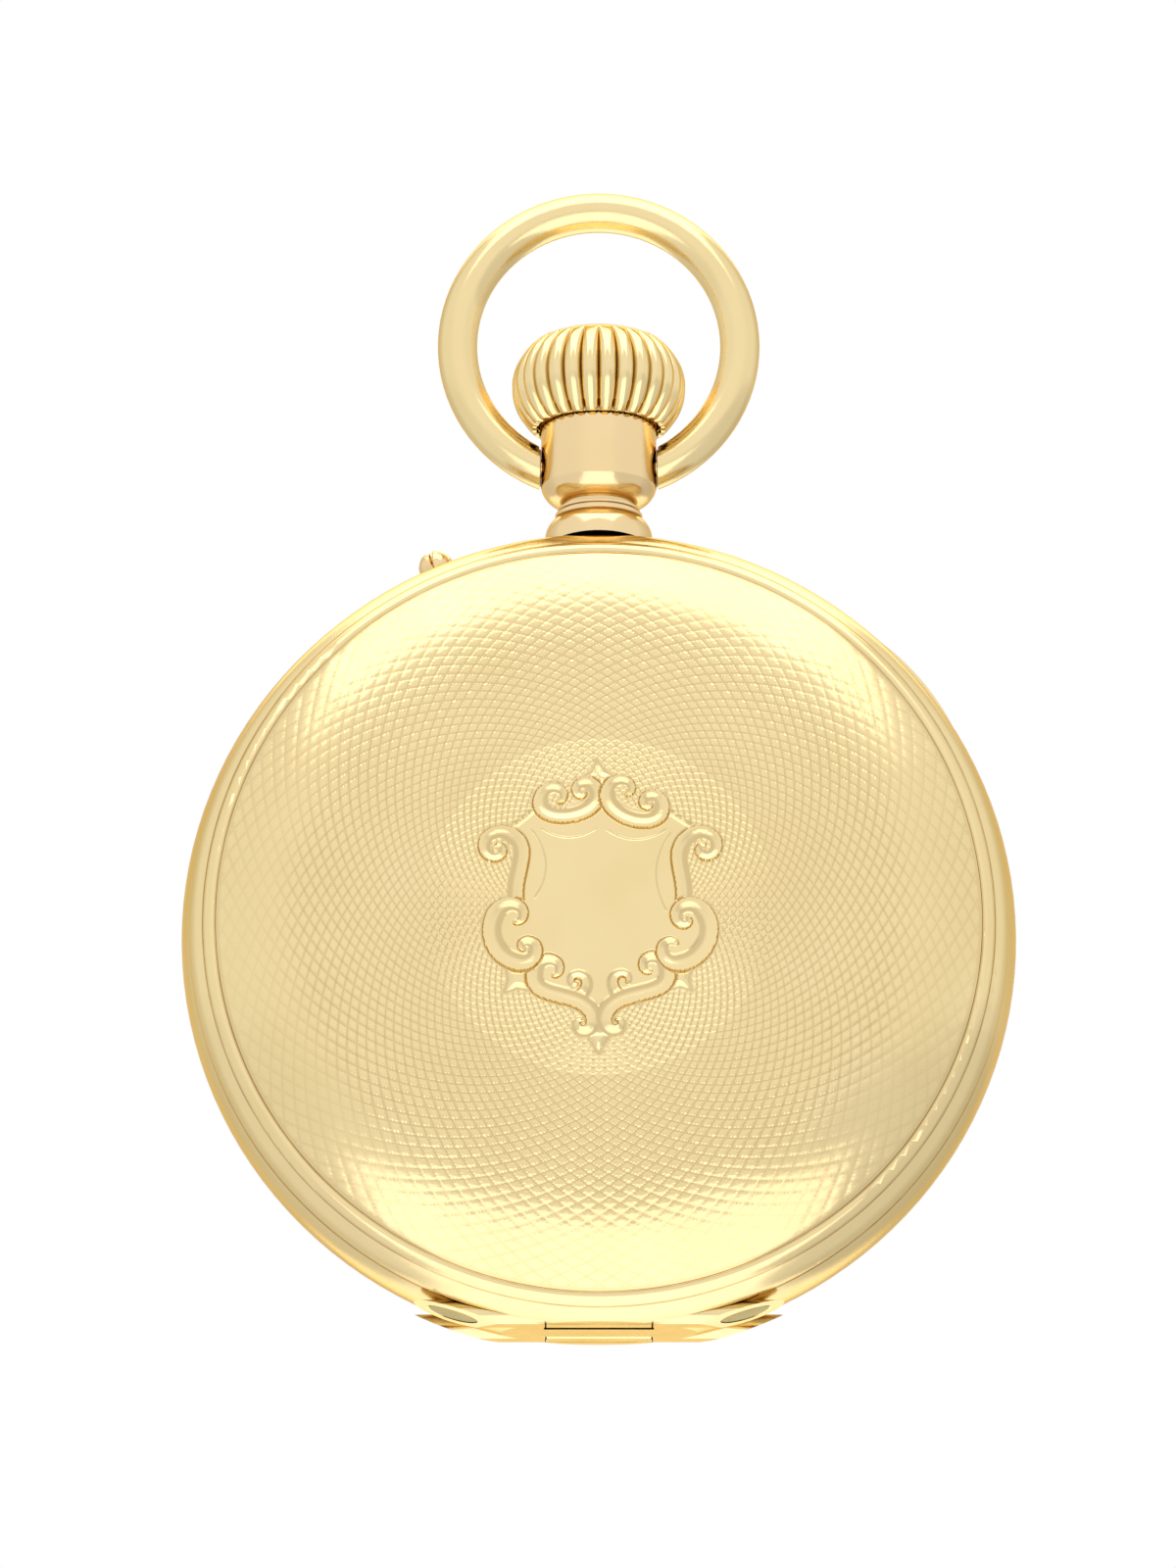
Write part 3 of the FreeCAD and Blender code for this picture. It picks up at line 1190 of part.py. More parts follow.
def make_escapement():
    """The pallet fork with its stones, and the balance with its staff and spring."""
    fork_x, fork_z = mm("fork_x"), mm("fork_z")
    balance = Vector(mm("balance_x") - fork_x, 0, mm("balance_z") - fork_z)
    wheel = Vector(mm("escape_x") - fork_x, 0, mm("escape_z") - fork_z)
    aim = math.degrees(math.atan2(-balance.z, balance.x))
    low, high = 0.12, 0.27
    half = [(-0.3, 0.35), (3.1, 0.16), (3.3, 0.5), (3.9, 0.42), (3.9, 0.2), (3.5, 0.18)]
    lever = prism(half + [(along, -across) for along, across in reversed(half)], low, high)
    lever.rotate(Vector(0, 0, 0), Vector(0, 1, 0), aim)
    toward = math.degrees(math.atan2(-wheel.z, wheel.x))
    stones, arms = [], []
    for side in (-1, 1):
        arm = prism([(-0.35, 0), (0.1, 0), (1.0 * 0.45, 1.75), (0.05, 1.85)], low, high)
        stone = block(0.1, 0.62, low + 0.01, high - 0.01, 1.86, 2.12)
        for shape in (arm, stone):
            if side < 0:
                shape = shape.mirror(Vector(0, 0, 0), Vector(0, 0, 1))
            shape.rotate(Vector(0, 0, 0), Vector(0, 1, 0), toward)
            (stones if shape.Volume < 0.03 else arms).append(shape)
    fork = lever.fuse(arms + [rod(0.45, low, high), arbor(-0.8, -0.15, 0.55, 0.9, 0.2)])
    feature("pallet_fork", fork.removeSplitter(), fork_x, fork_z)
    feature("pallet_stones", Part.makeCompound(stones), fork_x, fork_z)
    make_balance(math.degrees(math.atan2(balance.z, -balance.x)))


def make_balance(aim):
    """The balance wheel with rim screws, its staff and the hairspring; aim is the way to the fork."""
    x, z = mm("balance_x"), mm("balance_z")
    wheel = ring(5.7, 5.05, 1.2, 1.6).fuse(block(-5.2, 5.2, 1.25, 1.5, -0.4, 0.4)).fuse(rod(0.9, 1.2, 1.6))
    for row in range(14):
        angle = 2 * math.pi * (row + 0.5) / 14
        way = Vector(math.cos(angle), 0, math.sin(angle))
        wheel = wheel.fuse(Part.makeCylinder(0.24, 0.7, way * 5.5 + Vector(0, 1.4, 0), way))
    feature("balance_wheel", wheel.cut(rod(0.36, 1, 2)).removeSplitter(), x, z)
    staff = arbor(-0.8, -0.1, 2.2, 2.8, 0.35).fuse([rod(1.15, 0.38, 0.52), rod(0.6, 1.8, 2.0)])
    jewel = rod(0.16, 0.29, 0.38, 0.85)
    staff = staff.fuse(jewel)
    staff.rotate(Vector(0, 0, 0), Vector(0, 1, 0), 180 + aim)
    feature("balance_staff", staff.removeSplitter(), x, z)
    feature("hairspring", spiral_strip(0.7, 2.85, 9, 0.06, 1.83, 1.98), x, z)
    pointer = prism([(-1.5, -0.45), (-1.5, 0.45), (-5.6, 0.12), (-5.6, -0.12)], 2.97, 3.15)
    lever = ring(1.75, 1.05, 2.97, 3.15).fuse(pointer)
    feature("regulator", lever.removeSplitter(), x, z, turn_y=-15)
    feature("regulator_cap", rod(1.03, 2.96, 3.2), x, z)


def make_motion_work():
    """The wheels under the dial that carry and set the hands."""
    cannon = toothed(12, 0.78, 0.22, -1.85, -1.55).fuse(rod(0.59, -4.05, -1.6)).cut(rod(0.32, -5, -1))
    feature("cannon_pinion", cannon.removeSplitter())
    hour = toothed(40, 2.496, 0.22, -2.1, -1.92).fuse(rod(0.95, -3.5, -1.95)).cut(rod(0.65, -5, -1))
    feature("hour_wheel", hour.removeSplitter())
    pinion = toothed(10, 0.624, 0.2, -2.12, -1.8)
    minute = toothed(36, 2.34, 0.24, -1.85, -1.6).fuse(pinion).cut(rod(0.33, -3, -1))
    feature("minute_wheel", minute.removeSplitter(), 0, mm("minute_z"))
    setting = toothed(56, 3.64, 0.24, -1.85, -1.6).cut(rod(0.43, -3, -1))
    feature("setting_wheel", setting, 0, mm("setting_z"))


# ---------------------------------------------------------------- the watch
def build():
    """Makes every piece."""
    band = make_band()
    make_front_cover()
    make_back_cover()
    make_joint_pin("front_joint_pin", -1)
    make_joint_pin("back_joint_pin", 1)
    make_cuvette()
    make_cuvette_lugs()
    make_cuvette_pin()
    make_pendant(band)
    make_bow()
    make_crown()
    make_stem()
    make_sleeve()
    make_pusher()
    make_springs()
    make_bezel()
    make_glass()
    make_dial()
    make_hands()
    make_plate()
    make_bridges()
    make_cocks()
    make_screws()
    make_jewels()
    make_barrel()
    make_click()
    make_keyless()
    make_train()
    make_escapement()
    make_motion_work()


NODES = [
    "case_band", "front_cover", "back_cover", "front_joint_pin", "back_joint_pin", "cuvette",
    "cuvette_lugs", "cuvette_joint_pin", "pendant", "bow", "crown", "winding_stem", "push_sleeve",
    "set_pusher", "latch_spring", "fly_spring", "bezel", "crystal", "dial", "hour_hand", "minute_hand",
    "seconds_hand", "main_plate", "barrel_bridge", "train_bridge", "balance_cock", "pallet_cock",
    "bridge_screws", "cock_screw", "pallet_cock_screw", "case_screws", "crown_wheel_screw", "jewels",
    "mainspring_barrel", "barrel_cover", "mainspring", "barrel_arbor", "ratchet_wheel", "ratchet_screw",
    "crown_wheel", "click", "click_spring", "winding_pinion", "sliding_pinion", "setting_yoke",
    "center_wheel", "third_wheel", "fourth_wheel", "escape_wheel", "pallet_fork", "pallet_stones",
    "balance_wheel", "balance_staff", "hairspring", "regulator", "regulator_cap", "cannon_pinion",
    "hour_wheel", "minute_wheel", "setting_wheel",
]


def export():
    """Checks every object and writes one file for each piece."""
    doc.recompute()
    for item in doc.Objects:
        if "Invalid" in item.State or "Error" in item.State:
            raise RuntimeError(f"{item.Label} is {item.State}")
    os.makedirs("parts", exist_ok=True)
    for label in NODES:
        piece = doc.getObjectsByLabel(label)[0]
        shape = piece.Shape
        if shape.isNull() or not shape.isValid() or not shape.Solids:
            raise RuntimeError(f"{label} has no valid solid")
        shape.exportStep(f"parts/{label}.step")


build()
export()
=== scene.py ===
"""The looks of a gold hunter pocket watch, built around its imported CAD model.

Sizes are in millimetres and become metres where a mesh is made. The case's axis is Y, the front
cover faces -Y and the crown is at +Z. A clock angle is counted from the crown towards +X.
"""
import json
import math

import bmesh
import bpy
import numpy as np
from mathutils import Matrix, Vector


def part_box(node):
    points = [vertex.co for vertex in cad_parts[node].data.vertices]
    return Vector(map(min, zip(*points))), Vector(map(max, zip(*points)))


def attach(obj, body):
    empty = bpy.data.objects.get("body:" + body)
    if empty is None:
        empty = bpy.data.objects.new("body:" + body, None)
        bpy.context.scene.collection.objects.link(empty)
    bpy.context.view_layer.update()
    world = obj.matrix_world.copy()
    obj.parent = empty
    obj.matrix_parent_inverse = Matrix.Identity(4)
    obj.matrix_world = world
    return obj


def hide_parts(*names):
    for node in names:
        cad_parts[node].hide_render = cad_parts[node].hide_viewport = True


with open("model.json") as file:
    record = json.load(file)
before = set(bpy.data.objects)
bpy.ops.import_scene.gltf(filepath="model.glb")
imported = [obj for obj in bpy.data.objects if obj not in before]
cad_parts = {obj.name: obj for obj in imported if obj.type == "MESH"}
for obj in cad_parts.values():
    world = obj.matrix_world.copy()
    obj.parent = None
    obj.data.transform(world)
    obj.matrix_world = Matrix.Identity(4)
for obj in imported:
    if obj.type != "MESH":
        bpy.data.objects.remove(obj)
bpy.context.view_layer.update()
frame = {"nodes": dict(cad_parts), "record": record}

MM = 0.001
FULL_TURN = 2 * math.pi


def box_mm(node):
    """The lowest and highest corner of a CAD node, in millimetres."""
    low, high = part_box(node)
    return np.array(low) / MM, np.array(high) / MM


# ---------------------------------------------------------------- sizes
# a cover's dome: a flat arc in the middle that joins a rounder one towards the edge
DOME_TOP = -box_mm("front_cover")[0][1]
DOME_ROUND = 120.0
DOME_JOIN_R = 16.0
DOME_EDGE_ROUND = 24.0
DOME_R = 22.84

# the engraved skin: its thickness over the dome and under it, and its two sets of spiral grooves
SKIN = 0.08
SKIN_SUNK = -0.05
EDGE_WALL = 0.05
GROOVE_DEPTH = 0.035
GROOVE_REACH = 0.95
CELLS_AROUND = 90
FRONT_STEPS = 7
BACK_STEPS = 5
TWIST = 80 * math.pi
TWIST_R = 10.0
AXIS_R = 0.02
CARTOUCHE_R = 9.6
CARTOUCHE_PLAIN_R = 3.1
BACK_DISC_R = 8.0
SPLIT_R = 15.4
RUBBED_FROM = 17.0
RUBBED_TO = 19.8
PATTERN_OUT_R = 22.6

# reliefs of the cartouche
SHIELD_LIFT = 0.012
POINT_LOW = -0.03
POINT_RISE = 0.13
POINT_SLOPE = 0.42
SIDE_CUT = 0.075
SIDE_CUT_REACH = 0.3
ARC_CUT = 0.045
ARC_CUT_REACH = 0.09
CURL_END = 0.14
SCROLL_LIFT = 0.035
SCROLL_SWELL = 0.085
SCROLL_OUTLINE = 1.3

# the crown, over and inside its ribs; heights with "up" are above its foot
RIBS = 28
RIB_POINTS = 14
RIB_DEPTH = 0.6
SCALLOP = 0.3
SCALLOP_UP = 0.6
CROWN_FOOT_R = 4.05
CROWN_WIDE_UP = 2.75
CROWN_ROUND = 3.6
CAP_R = 3.9
CAP_TALL = 0.95
ROOM_R = 3.75
ROOM_UP = 1.35
ROOM_LIP = 0.06
ROOM_LIP_UP = 0.12
STEM_R = 0.57
STEM_TOP_Z = 36.05

# the set pusher, a carved ball on a stalk, along its own axis
PUSHER_ANGLE = -23.0
PETALS = 5
PETAL_POINTS = 16
PUSHER_BALL_R = 1.05
PUSHER_BALL_Z = 25.2
PUSHER_BALL_ROWS = 41
PUSHER_STALK_R = 0.45
PUSHER_FOOT_Z = 18.75

# collars at the bow's ends: their section is (radius, way out from the pendant)
PIVOT_Z = 29.5
COLLAR_X = 3.51
COLLAR_POINTS = 48
COLLAR_SECTION = ((0.95, 0.0), (1.1, 0.0), (1.16, 0.04), (1.16, 0.13), (0.95, 0.13))

# the dial's markings; a track is the radii of its two circles
NUMERALS = ("XII", "I", "II", "III", "IIII", "V", "VI", "VII", "VIII", "IX", "X", "XI")
HIDDEN_NUMERAL = "VI"
NUMERAL_R = 15.5
NUMERAL_TALL = 2.9
THICK_STROKE = 0.13
THIN_STROKE = 0.035
MINUTE_TRACK = (17.55, 18.35)
MINUTE_BARS = (17.58, 18.38)
SECONDS_X = 9.5
SECONDS_SUNK = 0.2
SECONDS_TRACK = (3.45, 3.85)
SECONDS_BARS = (3.46, 3.86)
SECONDS_LONG_BARS = (3.1, 3.86)
PAINT_THICK = 0.02

GOLD = (0.86, 0.69, 0.37)
RED_GOLD = (0.88, 0.675, 0.38)
PUSHER_GOLD = (0.87, 0.66, 0.36)
# dark brown of the gold's painted shade and dirt in corners, grooves and seams
GOLD_SHADE_AND_DIRT = (0.33, 0.20, 0.07)
GOLD_EDGE = (0.78, 0.58, 0.30)
PIN_BRASS = (0.50, 0.40, 0.17)
WHEEL_BRASS = (0.80, 0.60, 0.27)
GILT = (0.83, 0.60, 0.28)
STEEL = (0.40, 0.40, 0.42)
SPRING_STEEL = (0.42, 0.44, 0.5)

# corners of the rim with painted shade and dirt: radius, distance from the middle, width and strength
RIM_LINES = ((22.86, 4.3, 0.08, 0.5), (23.6, 3.8, 0.08, 0.6), (24.4, 2.36, 0.18, 0.9))


# ---------------------------------------------------------------- shader nodes
class Tree:
    """Builds the node tree of a material, or of the world, in few words."""

    def __init__(self, owner, output="OutputMaterial"):
        self.owner = owner
        owner.use_nodes = True
        self.nodes = owner.node_tree.nodes
        self.links = owner.node_tree.links
        self.nodes.clear()
        self.output = self.node(output)

    def node(self, kind, inputs=None, **settings):
        """A node with its settings and inputs; an input is a value or another node's socket."""
        made = self.nodes.new("ShaderNode" + kind)
        for key, value in settings.items():
            setattr(made, key, value)
        for key, value in (inputs or {}).items():
            if isinstance(value, bpy.types.NodeSocket):
                self.links.new(value, made.inputs[key])
            else:
                made.inputs[key].default_value = value
        return made

    def maths(self, operation, first, second=0.0, third=0.0):
        """A number worked out from up to three others."""
        return self.node("Math", {0: first, 1: second, 2: third}, operation=operation).outputs[0]

    def times(self, first, second):
        """A product."""
        return self.maths("MULTIPLY", first, second)

    def step(self, value, low, high, curve="SMOOTHSTEP"):
        """0 at low and before it, 1 at high and past it, and a soft or straight rise between."""
        inputs = {"Value": value, "From Min": low, "From Max": high}
        return self.node("MapRange", inputs, interpolation_type=curve).outputs["Result"]

    def axes(self, kind="Object"):
        """The three parts of the point's place at rest in metres, or of another coordinate."""
        split = self.node("SeparateXYZ", {0: self.node("TexCoord").outputs[kind]})
        return [split.outputs[axis] for axis in "XYZ"]

    def length(self, *parts):
        """The length of a vector that has these two or three parts."""
        vector = self.node("CombineXYZ", dict(enumerate(parts))).outputs[0]
        return self.node("VectorMath", {0: vector}, operation="LENGTH").outputs["Value"]

    def corners(self, reach, rays):
        """How open a place is, from 0 deep in a corner to 1 in the open; reach is in millimetres."""
        return self.node("AmbientOcclusion", {"Distance": reach * MM}, samples=rays).outputs["AO"]

    def place(self, scale=(1, 1, 1), turn=(0, 0, 0)):
        """The point's place at rest, in millimetres, stretched and turned."""
        where = self.node("TexCoord").outputs["Object"]
        sizes = tuple(1000 * s for s in scale)
        return self.node("Mapping", {"Vector": where, "Rotation": turn, "Scale": sizes}).outputs[0]

    def noise(self, scale, detail=2.0, where=None, rough=0.5):
        """Soft noise with about `scale` lumps in a millimetre."""
        inputs = {"Vector": where or self.place(), "Scale": scale, "Detail": detail, "Roughness": rough}
        return self.node("TexNoise", inputs).outputs["Fac"]

    def ramp(self, factor, *stops):
        """Colours or grey values along a factor."""
        made = self.node("ValToRGB", {"Fac": factor})
        elements = made.color_ramp.elements
        while len(elements) < len(stops):
            elements.new(0.5)
        for element, (place, colour) in zip(elements, stops):
            element.position = place
            element.color = (*colour, 1) if isinstance(colour, tuple) else (colour, colour, colour, 1)
        return made.outputs["Color"]

    def mix(self, factor, first, second, blend="MIX"):
        """A mixture of two colours."""
        made = self.node("Mix", data_type="RGBA", blend_type=blend)
        for key, value in ((0, factor), (6, first), (7, second)):
            if isinstance(value, bpy.types.NodeSocket):
                self.links.new(value, made.inputs[key])
            else:
                made.inputs[key].default_value = (*value, 1) if isinstance(value, tuple) else value
        return made.outputs[2]

    def bump(self, height, distance, strength=1.0, under=None):
        """A normal that follows a height given in millimetres."""
        inputs = {"Height": height, "Distance": distance * MM, "Strength": strength}
        if under is not None:
            inputs["Normal"] = under
        return self.node("Bump", inputs).outputs[0]

    def surface(self, **inputs):
        """The finished surface."""
        named = {key.replace("_", " "): value for key, value in inputs.items()}
        for key, value in named.items():
            if isinstance(value, tuple) and len(value) == 3:
                named[key] = (*value, 1)
        shader = self.node("BsdfPrincipled", named)
        self.links.new(shader.outputs[0], self.output.inputs["Surface"])
        return self.owner


def new_tree(name):
    """An empty node tree in a new material."""
    return Tree(bpy.data.materials.new(name))


def scratches(tree, amount):
    """Fine wear lines in three directions, as a height in millimetres."""
    height = None
    for number, turn in enumerate(((0.3, 0.2, 0.5), (1.2, 0.9, -0.8), (-0.7, 1.6, 2.1))):
        lines = tree.noise(1.0, 3.0, tree.place((0.5 + number * 0.2, 22, 0.5), turn), 0.6)
        away = tree.maths("ABSOLUTE", tree.maths("SUBTRACT", lines, 0.5))
        sharp = tree.maths("SMOOTH_MIN", away, 0.035, 0.02)
        height = sharp if height is None else tree.maths("ADD", height, sharp)
    return tree.times(height, amount)


def gold(name, colour=GOLD, rough=0.13, wear=1.0, shade_and_dirt=0.3, engraved=False, joint=False):
    """Polished gold alloy with cloudy tone, fine wear lines and painted shade and dirt in its corners."""
    tree = new_tree(name)
    cloud = tree.noise(0.12, 3.0)
    darker = tuple(c * f for c, f in zip(colour, (0.96, 0.95, 0.9)))
    tone = tree.mix(tree.ramp(cloud, (0.35, 0.0), (0.7, 1.0)), colour, darker)
    # painted shade and dirt: ambient occlusion turns the colour dark brown in corners
    shade = tree.ramp(tree.corners(0.3, 4), (0.2, shade_and_dirt), (0.8, 0.0))
    if engraved:
        # painted shade: the engraved grooves darken the deeper they are cut
        cut = tree.node("Attribute", attribute_name="cut").outputs["Fac"]
        shade = tree.maths("MAXIMUM", tree.times(cut, 0.36), shade)
    # painted shade and dirt in the case joints and in the rim's seams
    if joint:
        shade = tree.maths("MAXIMUM", joint_shade_and_dirt(tree), shade)
        shade = tree.maths("MAXIMUM", rim_shade_and_dirt(tree), shade)
    tone = tree.mix(shade, tone, GOLD_SHADE_AND_DIRT)
    smudge = tree.noise(0.45, 4.0, rough=0.65)
    spread = tree.ramp(smudge, (0.3, rough * 0.75), (0.75, min(1.0, rough * 1.5)))
    fine = tree.noise(9.0, 2.0)
    height = tree.maths("ADD", scratches(tree, 0.02 * wear), tree.times(fine, 0.0012 * wear))
    wavy = tree.bump(tree.noise(0.35, 1.0), 0.03)
    normal = tree.bump(height, 1.0, 0.6, wavy)
    return tree.surface(Base_Color=tone, Metallic=1.0, Roughness=spread, Normal=normal,
                        Specular_Tint=GOLD_EDGE)


def joint_shade_and_dirt(tree):
    """Painted shade and dirt in the corners of the case joints, patchy, only near the bottom of the case.
    """
    near = tree.step(tree.axes()[2], -22.6 * MM, -23.4 * MM, "LINEAR")
    deep = tree.ramp(tree.corners(1.1, 6), (0.25, 0.95), (0.72, 0.0))
    patchy = tree.ramp(tree.noise(2.2, 3.0), (0.3, 0.55), (0.65, 1.0))
    return tree.times(tree.times(deep, near), patchy)


def rim_shade_and_dirt(tree):
    """Painted shade and dirt as brown lines in the corners between the beads and where a cover's edge meets
    the band.
    """
    across, depth, up = tree.axes()
    depth = tree.maths("ABSOLUTE", depth)
    radius = tree.length(across, 0.0, up)
    shade_and_dirt = None
    for ring_r, ring_y, width, strength in RIM_LINES:
        out = tree.maths("SUBTRACT", radius, ring_r * MM)
        along = tree.maths("SUBTRACT", depth, ring_y * MM)
        line = tree.step(tree.length(out, along, 0.0), width * MM, width * 0.4 * MM, "LINEAR")
        line = tree.times(line, strength)
        shade_and_dirt = line if shade_and_dirt is None else tree.maths("MAXIMUM", shade_and_dirt, line)
    return tree.times(shade_and_dirt, tree.ramp(tree.noise(0.35, 3.0), (0.3, 0.5), (0.7, 1.0)))


def brushed(name, colour, rough=0.3, centre=None, grain=0.012):
    """Metal with a fine grain: straight, or in rays round a centre given as x and z in millimetres."""
    tree = new_tree(name)
    if centre is None:
        lines = tree.noise(1.0, 2.0, tree.place((26, 26, 1.2)), 0.6)
    else:
        x, _, z = tree.axes()
        across = tree.maths("SUBTRACT", x, centre[0] * MM)
        up = tree.maths("SUBTRACT", z, centre[1] * MM)
        turn = tree.maths("ARCTAN2", across, up)
        ray = tree.node("CombineXYZ", {0: tree.times(turn, 30.0)}).outputs[0]
        lines = tree.noise(1.0, 3.0, ray, 0.7)
    cloud = tree.noise(0.5, 3.0)
    darker = tuple(c * 0.82 for c in colour)
    tone = tree.mix(tree.ramp(cloud, (0.3, 0.0), (0.75, 1.0)), colour, darker)
    # painted shade: the colour darkens in corners
    corner = tree.ramp(tree.corners(0.3, 4), (0.3, 0.85), (0.9, 0.0))
    tone = tree.mix(corner, tone, tuple(c * 0.2 for c in colour))
    spread = tree.ramp(lines, (0.3, rough * 0.7), (0.7, min(1.0, rough * 1.3)))
    return tree.surface(Base_Color=tone, Metallic=1.0, Roughness=spread, Normal=tree.bump(lines, grain))


def frosted(name, colour, rough=0.42):
    """Gilt metal frosted in the bath: a fine, even grain with faint stains."""
    tree = new_tree(name)
    grain = tree.noise(16.0, 3.0, rough=0.7)
    stain = tree.noise(0.3, 4.0, rough=0.6)
    tone = tree.mix(tree.ramp(stain, (0.35, 0.0), (0.75, 1.0)), colour, tuple(c * 0.84 for c in colour))
    # painted shade: the colour darkens in corners
    corner = tree.ramp(tree.corners(0.8, 6), (0.3, 0.75), (0.95, 0.0))
    tone = tree.mix(corner, tone, tuple(c * 0.25 for c in colour))
    spread = tree.ramp(grain, (0.3, rough * 0.8), (0.7, rough * 1.2))
    return tree.surface(Base_Color=tone, Metallic=1.0, Roughness=spread, Normal=tree.bump(grain, 0.012))


# ---------------------------------------------------------------- mesh helpers
def new_piece(name, points, faces, body, material, smooth_angle=35, stands_for=()):
    """A mesh piece, from points in millimetres, that moves with a body of the watch."""
    mesh = bpy.data.meshes.new(name)
    points = np.asarray(points, float) * MM
    if isinstance(faces, list):
        mesh.from_pydata(points.tolist(), [], faces)
        shell = bmesh.new()
        shell.from_mesh(mesh)
        bmesh.ops.recalc_face_normals(shell, faces=shell.faces)
        shell.to_mesh(mesh)
        shell.free()
    else:
        faces = np.asarray(faces, np.int32)
        corners = faces.shape[1]
        mesh.vertices.add(len(points))
        mesh.vertices.foreach_set("co", points.ravel())
        mesh.loops.add(faces.size)
        mesh.loops.foreach_set("vertex_index", faces.ravel())
        mesh.polygons.add(len(faces))
        mesh.polygons.foreach_set("loop_start", np.arange(len(faces)) * corners)
    mesh.update(calc_edges=True)
    mesh.validate()
    mesh.shade_smooth()
    mesh.set_sharp_from_angle(angle=math.radians(smooth_angle))
    mesh.materials.append(material)
    piece = bpy.data.objects.new(name, mesh)
    bpy.context.scene.collection.objects.link(piece)
    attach(piece, body)
    if stands_for:
        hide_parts(*stands_for)
    return piece


def ring_faces(rows, columns):
    """Quads between rings of points, each ring closed on itself."""
    row, column = np.meshgrid(np.arange(rows - 1), np.arange(columns), indexing="ij")
    following = (column + 1) % columns
    quads = np.stack([row * columns + column, row * columns + following,
                      (row + 1) * columns + following, (row + 1) * columns + column], -1).reshape(-1, 4)
    return quads


def closing_faces(rows, columns):
    """Quads between the last ring of points and the first."""
    quads = ring_faces(2, columns)
    last = (rows - 1) * columns
    return np.where(quads < columns, quads + last, quads - columns)


def split_low(quads, height):
    """Triangles from quads, cut along the diagonal whose ends lie lower."""
    first = height[quads[:, 0]] + height[quads[:, 2]]
    second = height[quads[:, 1]] + height[quads[:, 3]]
    straight = (first <= second)[:, None]
    one = np.where(straight, quads[:, [0, 1, 2]], quads[:, [0, 1, 3]])
    two = np.where(straight, quads[:, [0, 2, 3]], quads[:, [1, 2, 3]])
    return np.concatenate([one, two])


def smooth_step(value, low, high):
    """0 below low, 1 above high and a soft curve between."""
    share = np.clip((value - low) / (high - low), 0, 1)
    return share * share * (3 - 2 * share)


# ---------------------------------------------------------------- engraved covers
def dome(radius):
    """Height of a cover's dome over the case's middle plane, and its slope angle."""
    join_angle = math.asin(DOME_JOIN_R / DOME_ROUND)
    top_centre = DOME_TOP - DOME_ROUND
    edge_r = DOME_JOIN_R - DOME_EDGE_ROUND * math.sin(join_angle)
    edge_centre = top_centre + (DOME_ROUND - DOME_EDGE_ROUND) * math.cos(join_angle)
    inner = np.minimum(radius, DOME_JOIN_R)
    reach = np.clip((radius - edge_r) / DOME_EDGE_ROUND, -1, 1)
    in_middle = radius < DOME_JOIN_R
    height = np.where(in_middle, top_centre + np.sqrt(DOME_ROUND ** 2 - inner ** 2),
                      edge_centre + DOME_EDGE_ROUND * np.sqrt(1 - reach ** 2))
    slope = np.where(in_middle, np.arcsin(inner / DOME_ROUND), np.arcsin(reach))
    return height, slope


def phase(radius):
    """The turn of the engraved spirals at a radius, in radians of their own wave."""
    return TWIST * np.log(1 + radius / TWIST_R)


def radius_at(wave):
    """The radius where the spirals have turned this far."""
    return TWIST_R * (np.exp(wave / TWIST) - 1)


def cell_height(radius, angle):
    """Depth of the grooves that cross in diamonds, in millimetres below the cells' flats."""
    near = []
    for side in (1, -1):
        wave = CELLS_AROUND * angle + side * phase(radius)
        near.append(np.abs((wave + math.pi) % FULL_TURN - math.pi))
    distance = np.minimum(*near)
    return -GROOVE_DEPTH * (1 - smooth_step(distance, 0.0, GROOVE_REACH))


def rubbed(radius, angle):
    """How much of the engraving is left where the dome's edge has rubbed in the pocket."""
    patches = 0.12 * np.sin(3 * angle + 1.0) + 0.1 * np.sin(7 * angle + radius * 0.9)
    return 1 - (0.62 + patches) * smooth_step(radius, RUBBED_FROM, RUBBED_TO)


def skin_points(radius, angle, lift, side):
    """Points on a dome, lifted along its normal; side is -1 at the front and 1 at the back."""
    height, slope = dome(radius)
    out = radius + lift * np.sin(slope)
    up = (height + lift * np.cos(slope)) * side
    return np.stack([out * np.sin(angle), up, out * np.cos(angle)], -1)


def add_cut(piece, height, count):
    """Stores how deep each point is engraved, for its material to paint shade in the grooves."""
    depth = np.zeros(len(piece.data.vertices), np.float32)
    depth[:count] = np.clip(-height.ravel()[:count] / GROOVE_DEPTH, 0, 1)
    piece.data.attributes.new("cut", "FLOAT", "POINT").data.foreach_set("value", depth)


def skin_piece(name, radii, relief, side, body, material, cell_steps):
    """A thin closed shell on a cover's dome: engraved outside and sunk into the cover below."""
    columns = CELLS_AROUND * cell_steps
    angles = np.arange(columns) * FULL_TURN / columns
    radius, angle = np.meshgrid(radii, angles, indexing="ij")
    height = relief(radius, angle)
    top = skin_points(radius, angle, SKIN + height, side).reshape(-1, 3)
    low_radii = np.linspace(radii[-1], radii[0], 10)
    low_radius, low_angle = np.meshgrid(low_radii, angles, indexing="ij")
    low = skin_points(low_radius, low_angle, SKIN_SUNK, side).reshape(-1, 3)
    heights = np.concatenate([height.ravel(), np.zeros(len(low))])
    total = len(radii) + len(low_radii)
    faces = split_low(ring_faces(total, columns), heights)
    closing = closing_faces(total, columns)
    faces = np.concatenate([faces, closing[:, [0, 1, 2]], closing[:, [0, 2, 3]]])
    if side < 0:
        faces = faces[:, ::-1]
    piece = new_piece(name, np.concatenate([top, low]), faces, body, material, 60)
    add_cut(piece, height, height.size)
    return piece


def spread_rows(low, high, cell_steps):
    """Radii whose rings fall on the crossings of the grooves, between two radii."""
    step = FULL_TURN / cell_steps
    first = math.ceil(phase(low) / step)
    last = math.floor(phase(high) / step)
    return radius_at(np.arange(first, last + 1) * step)


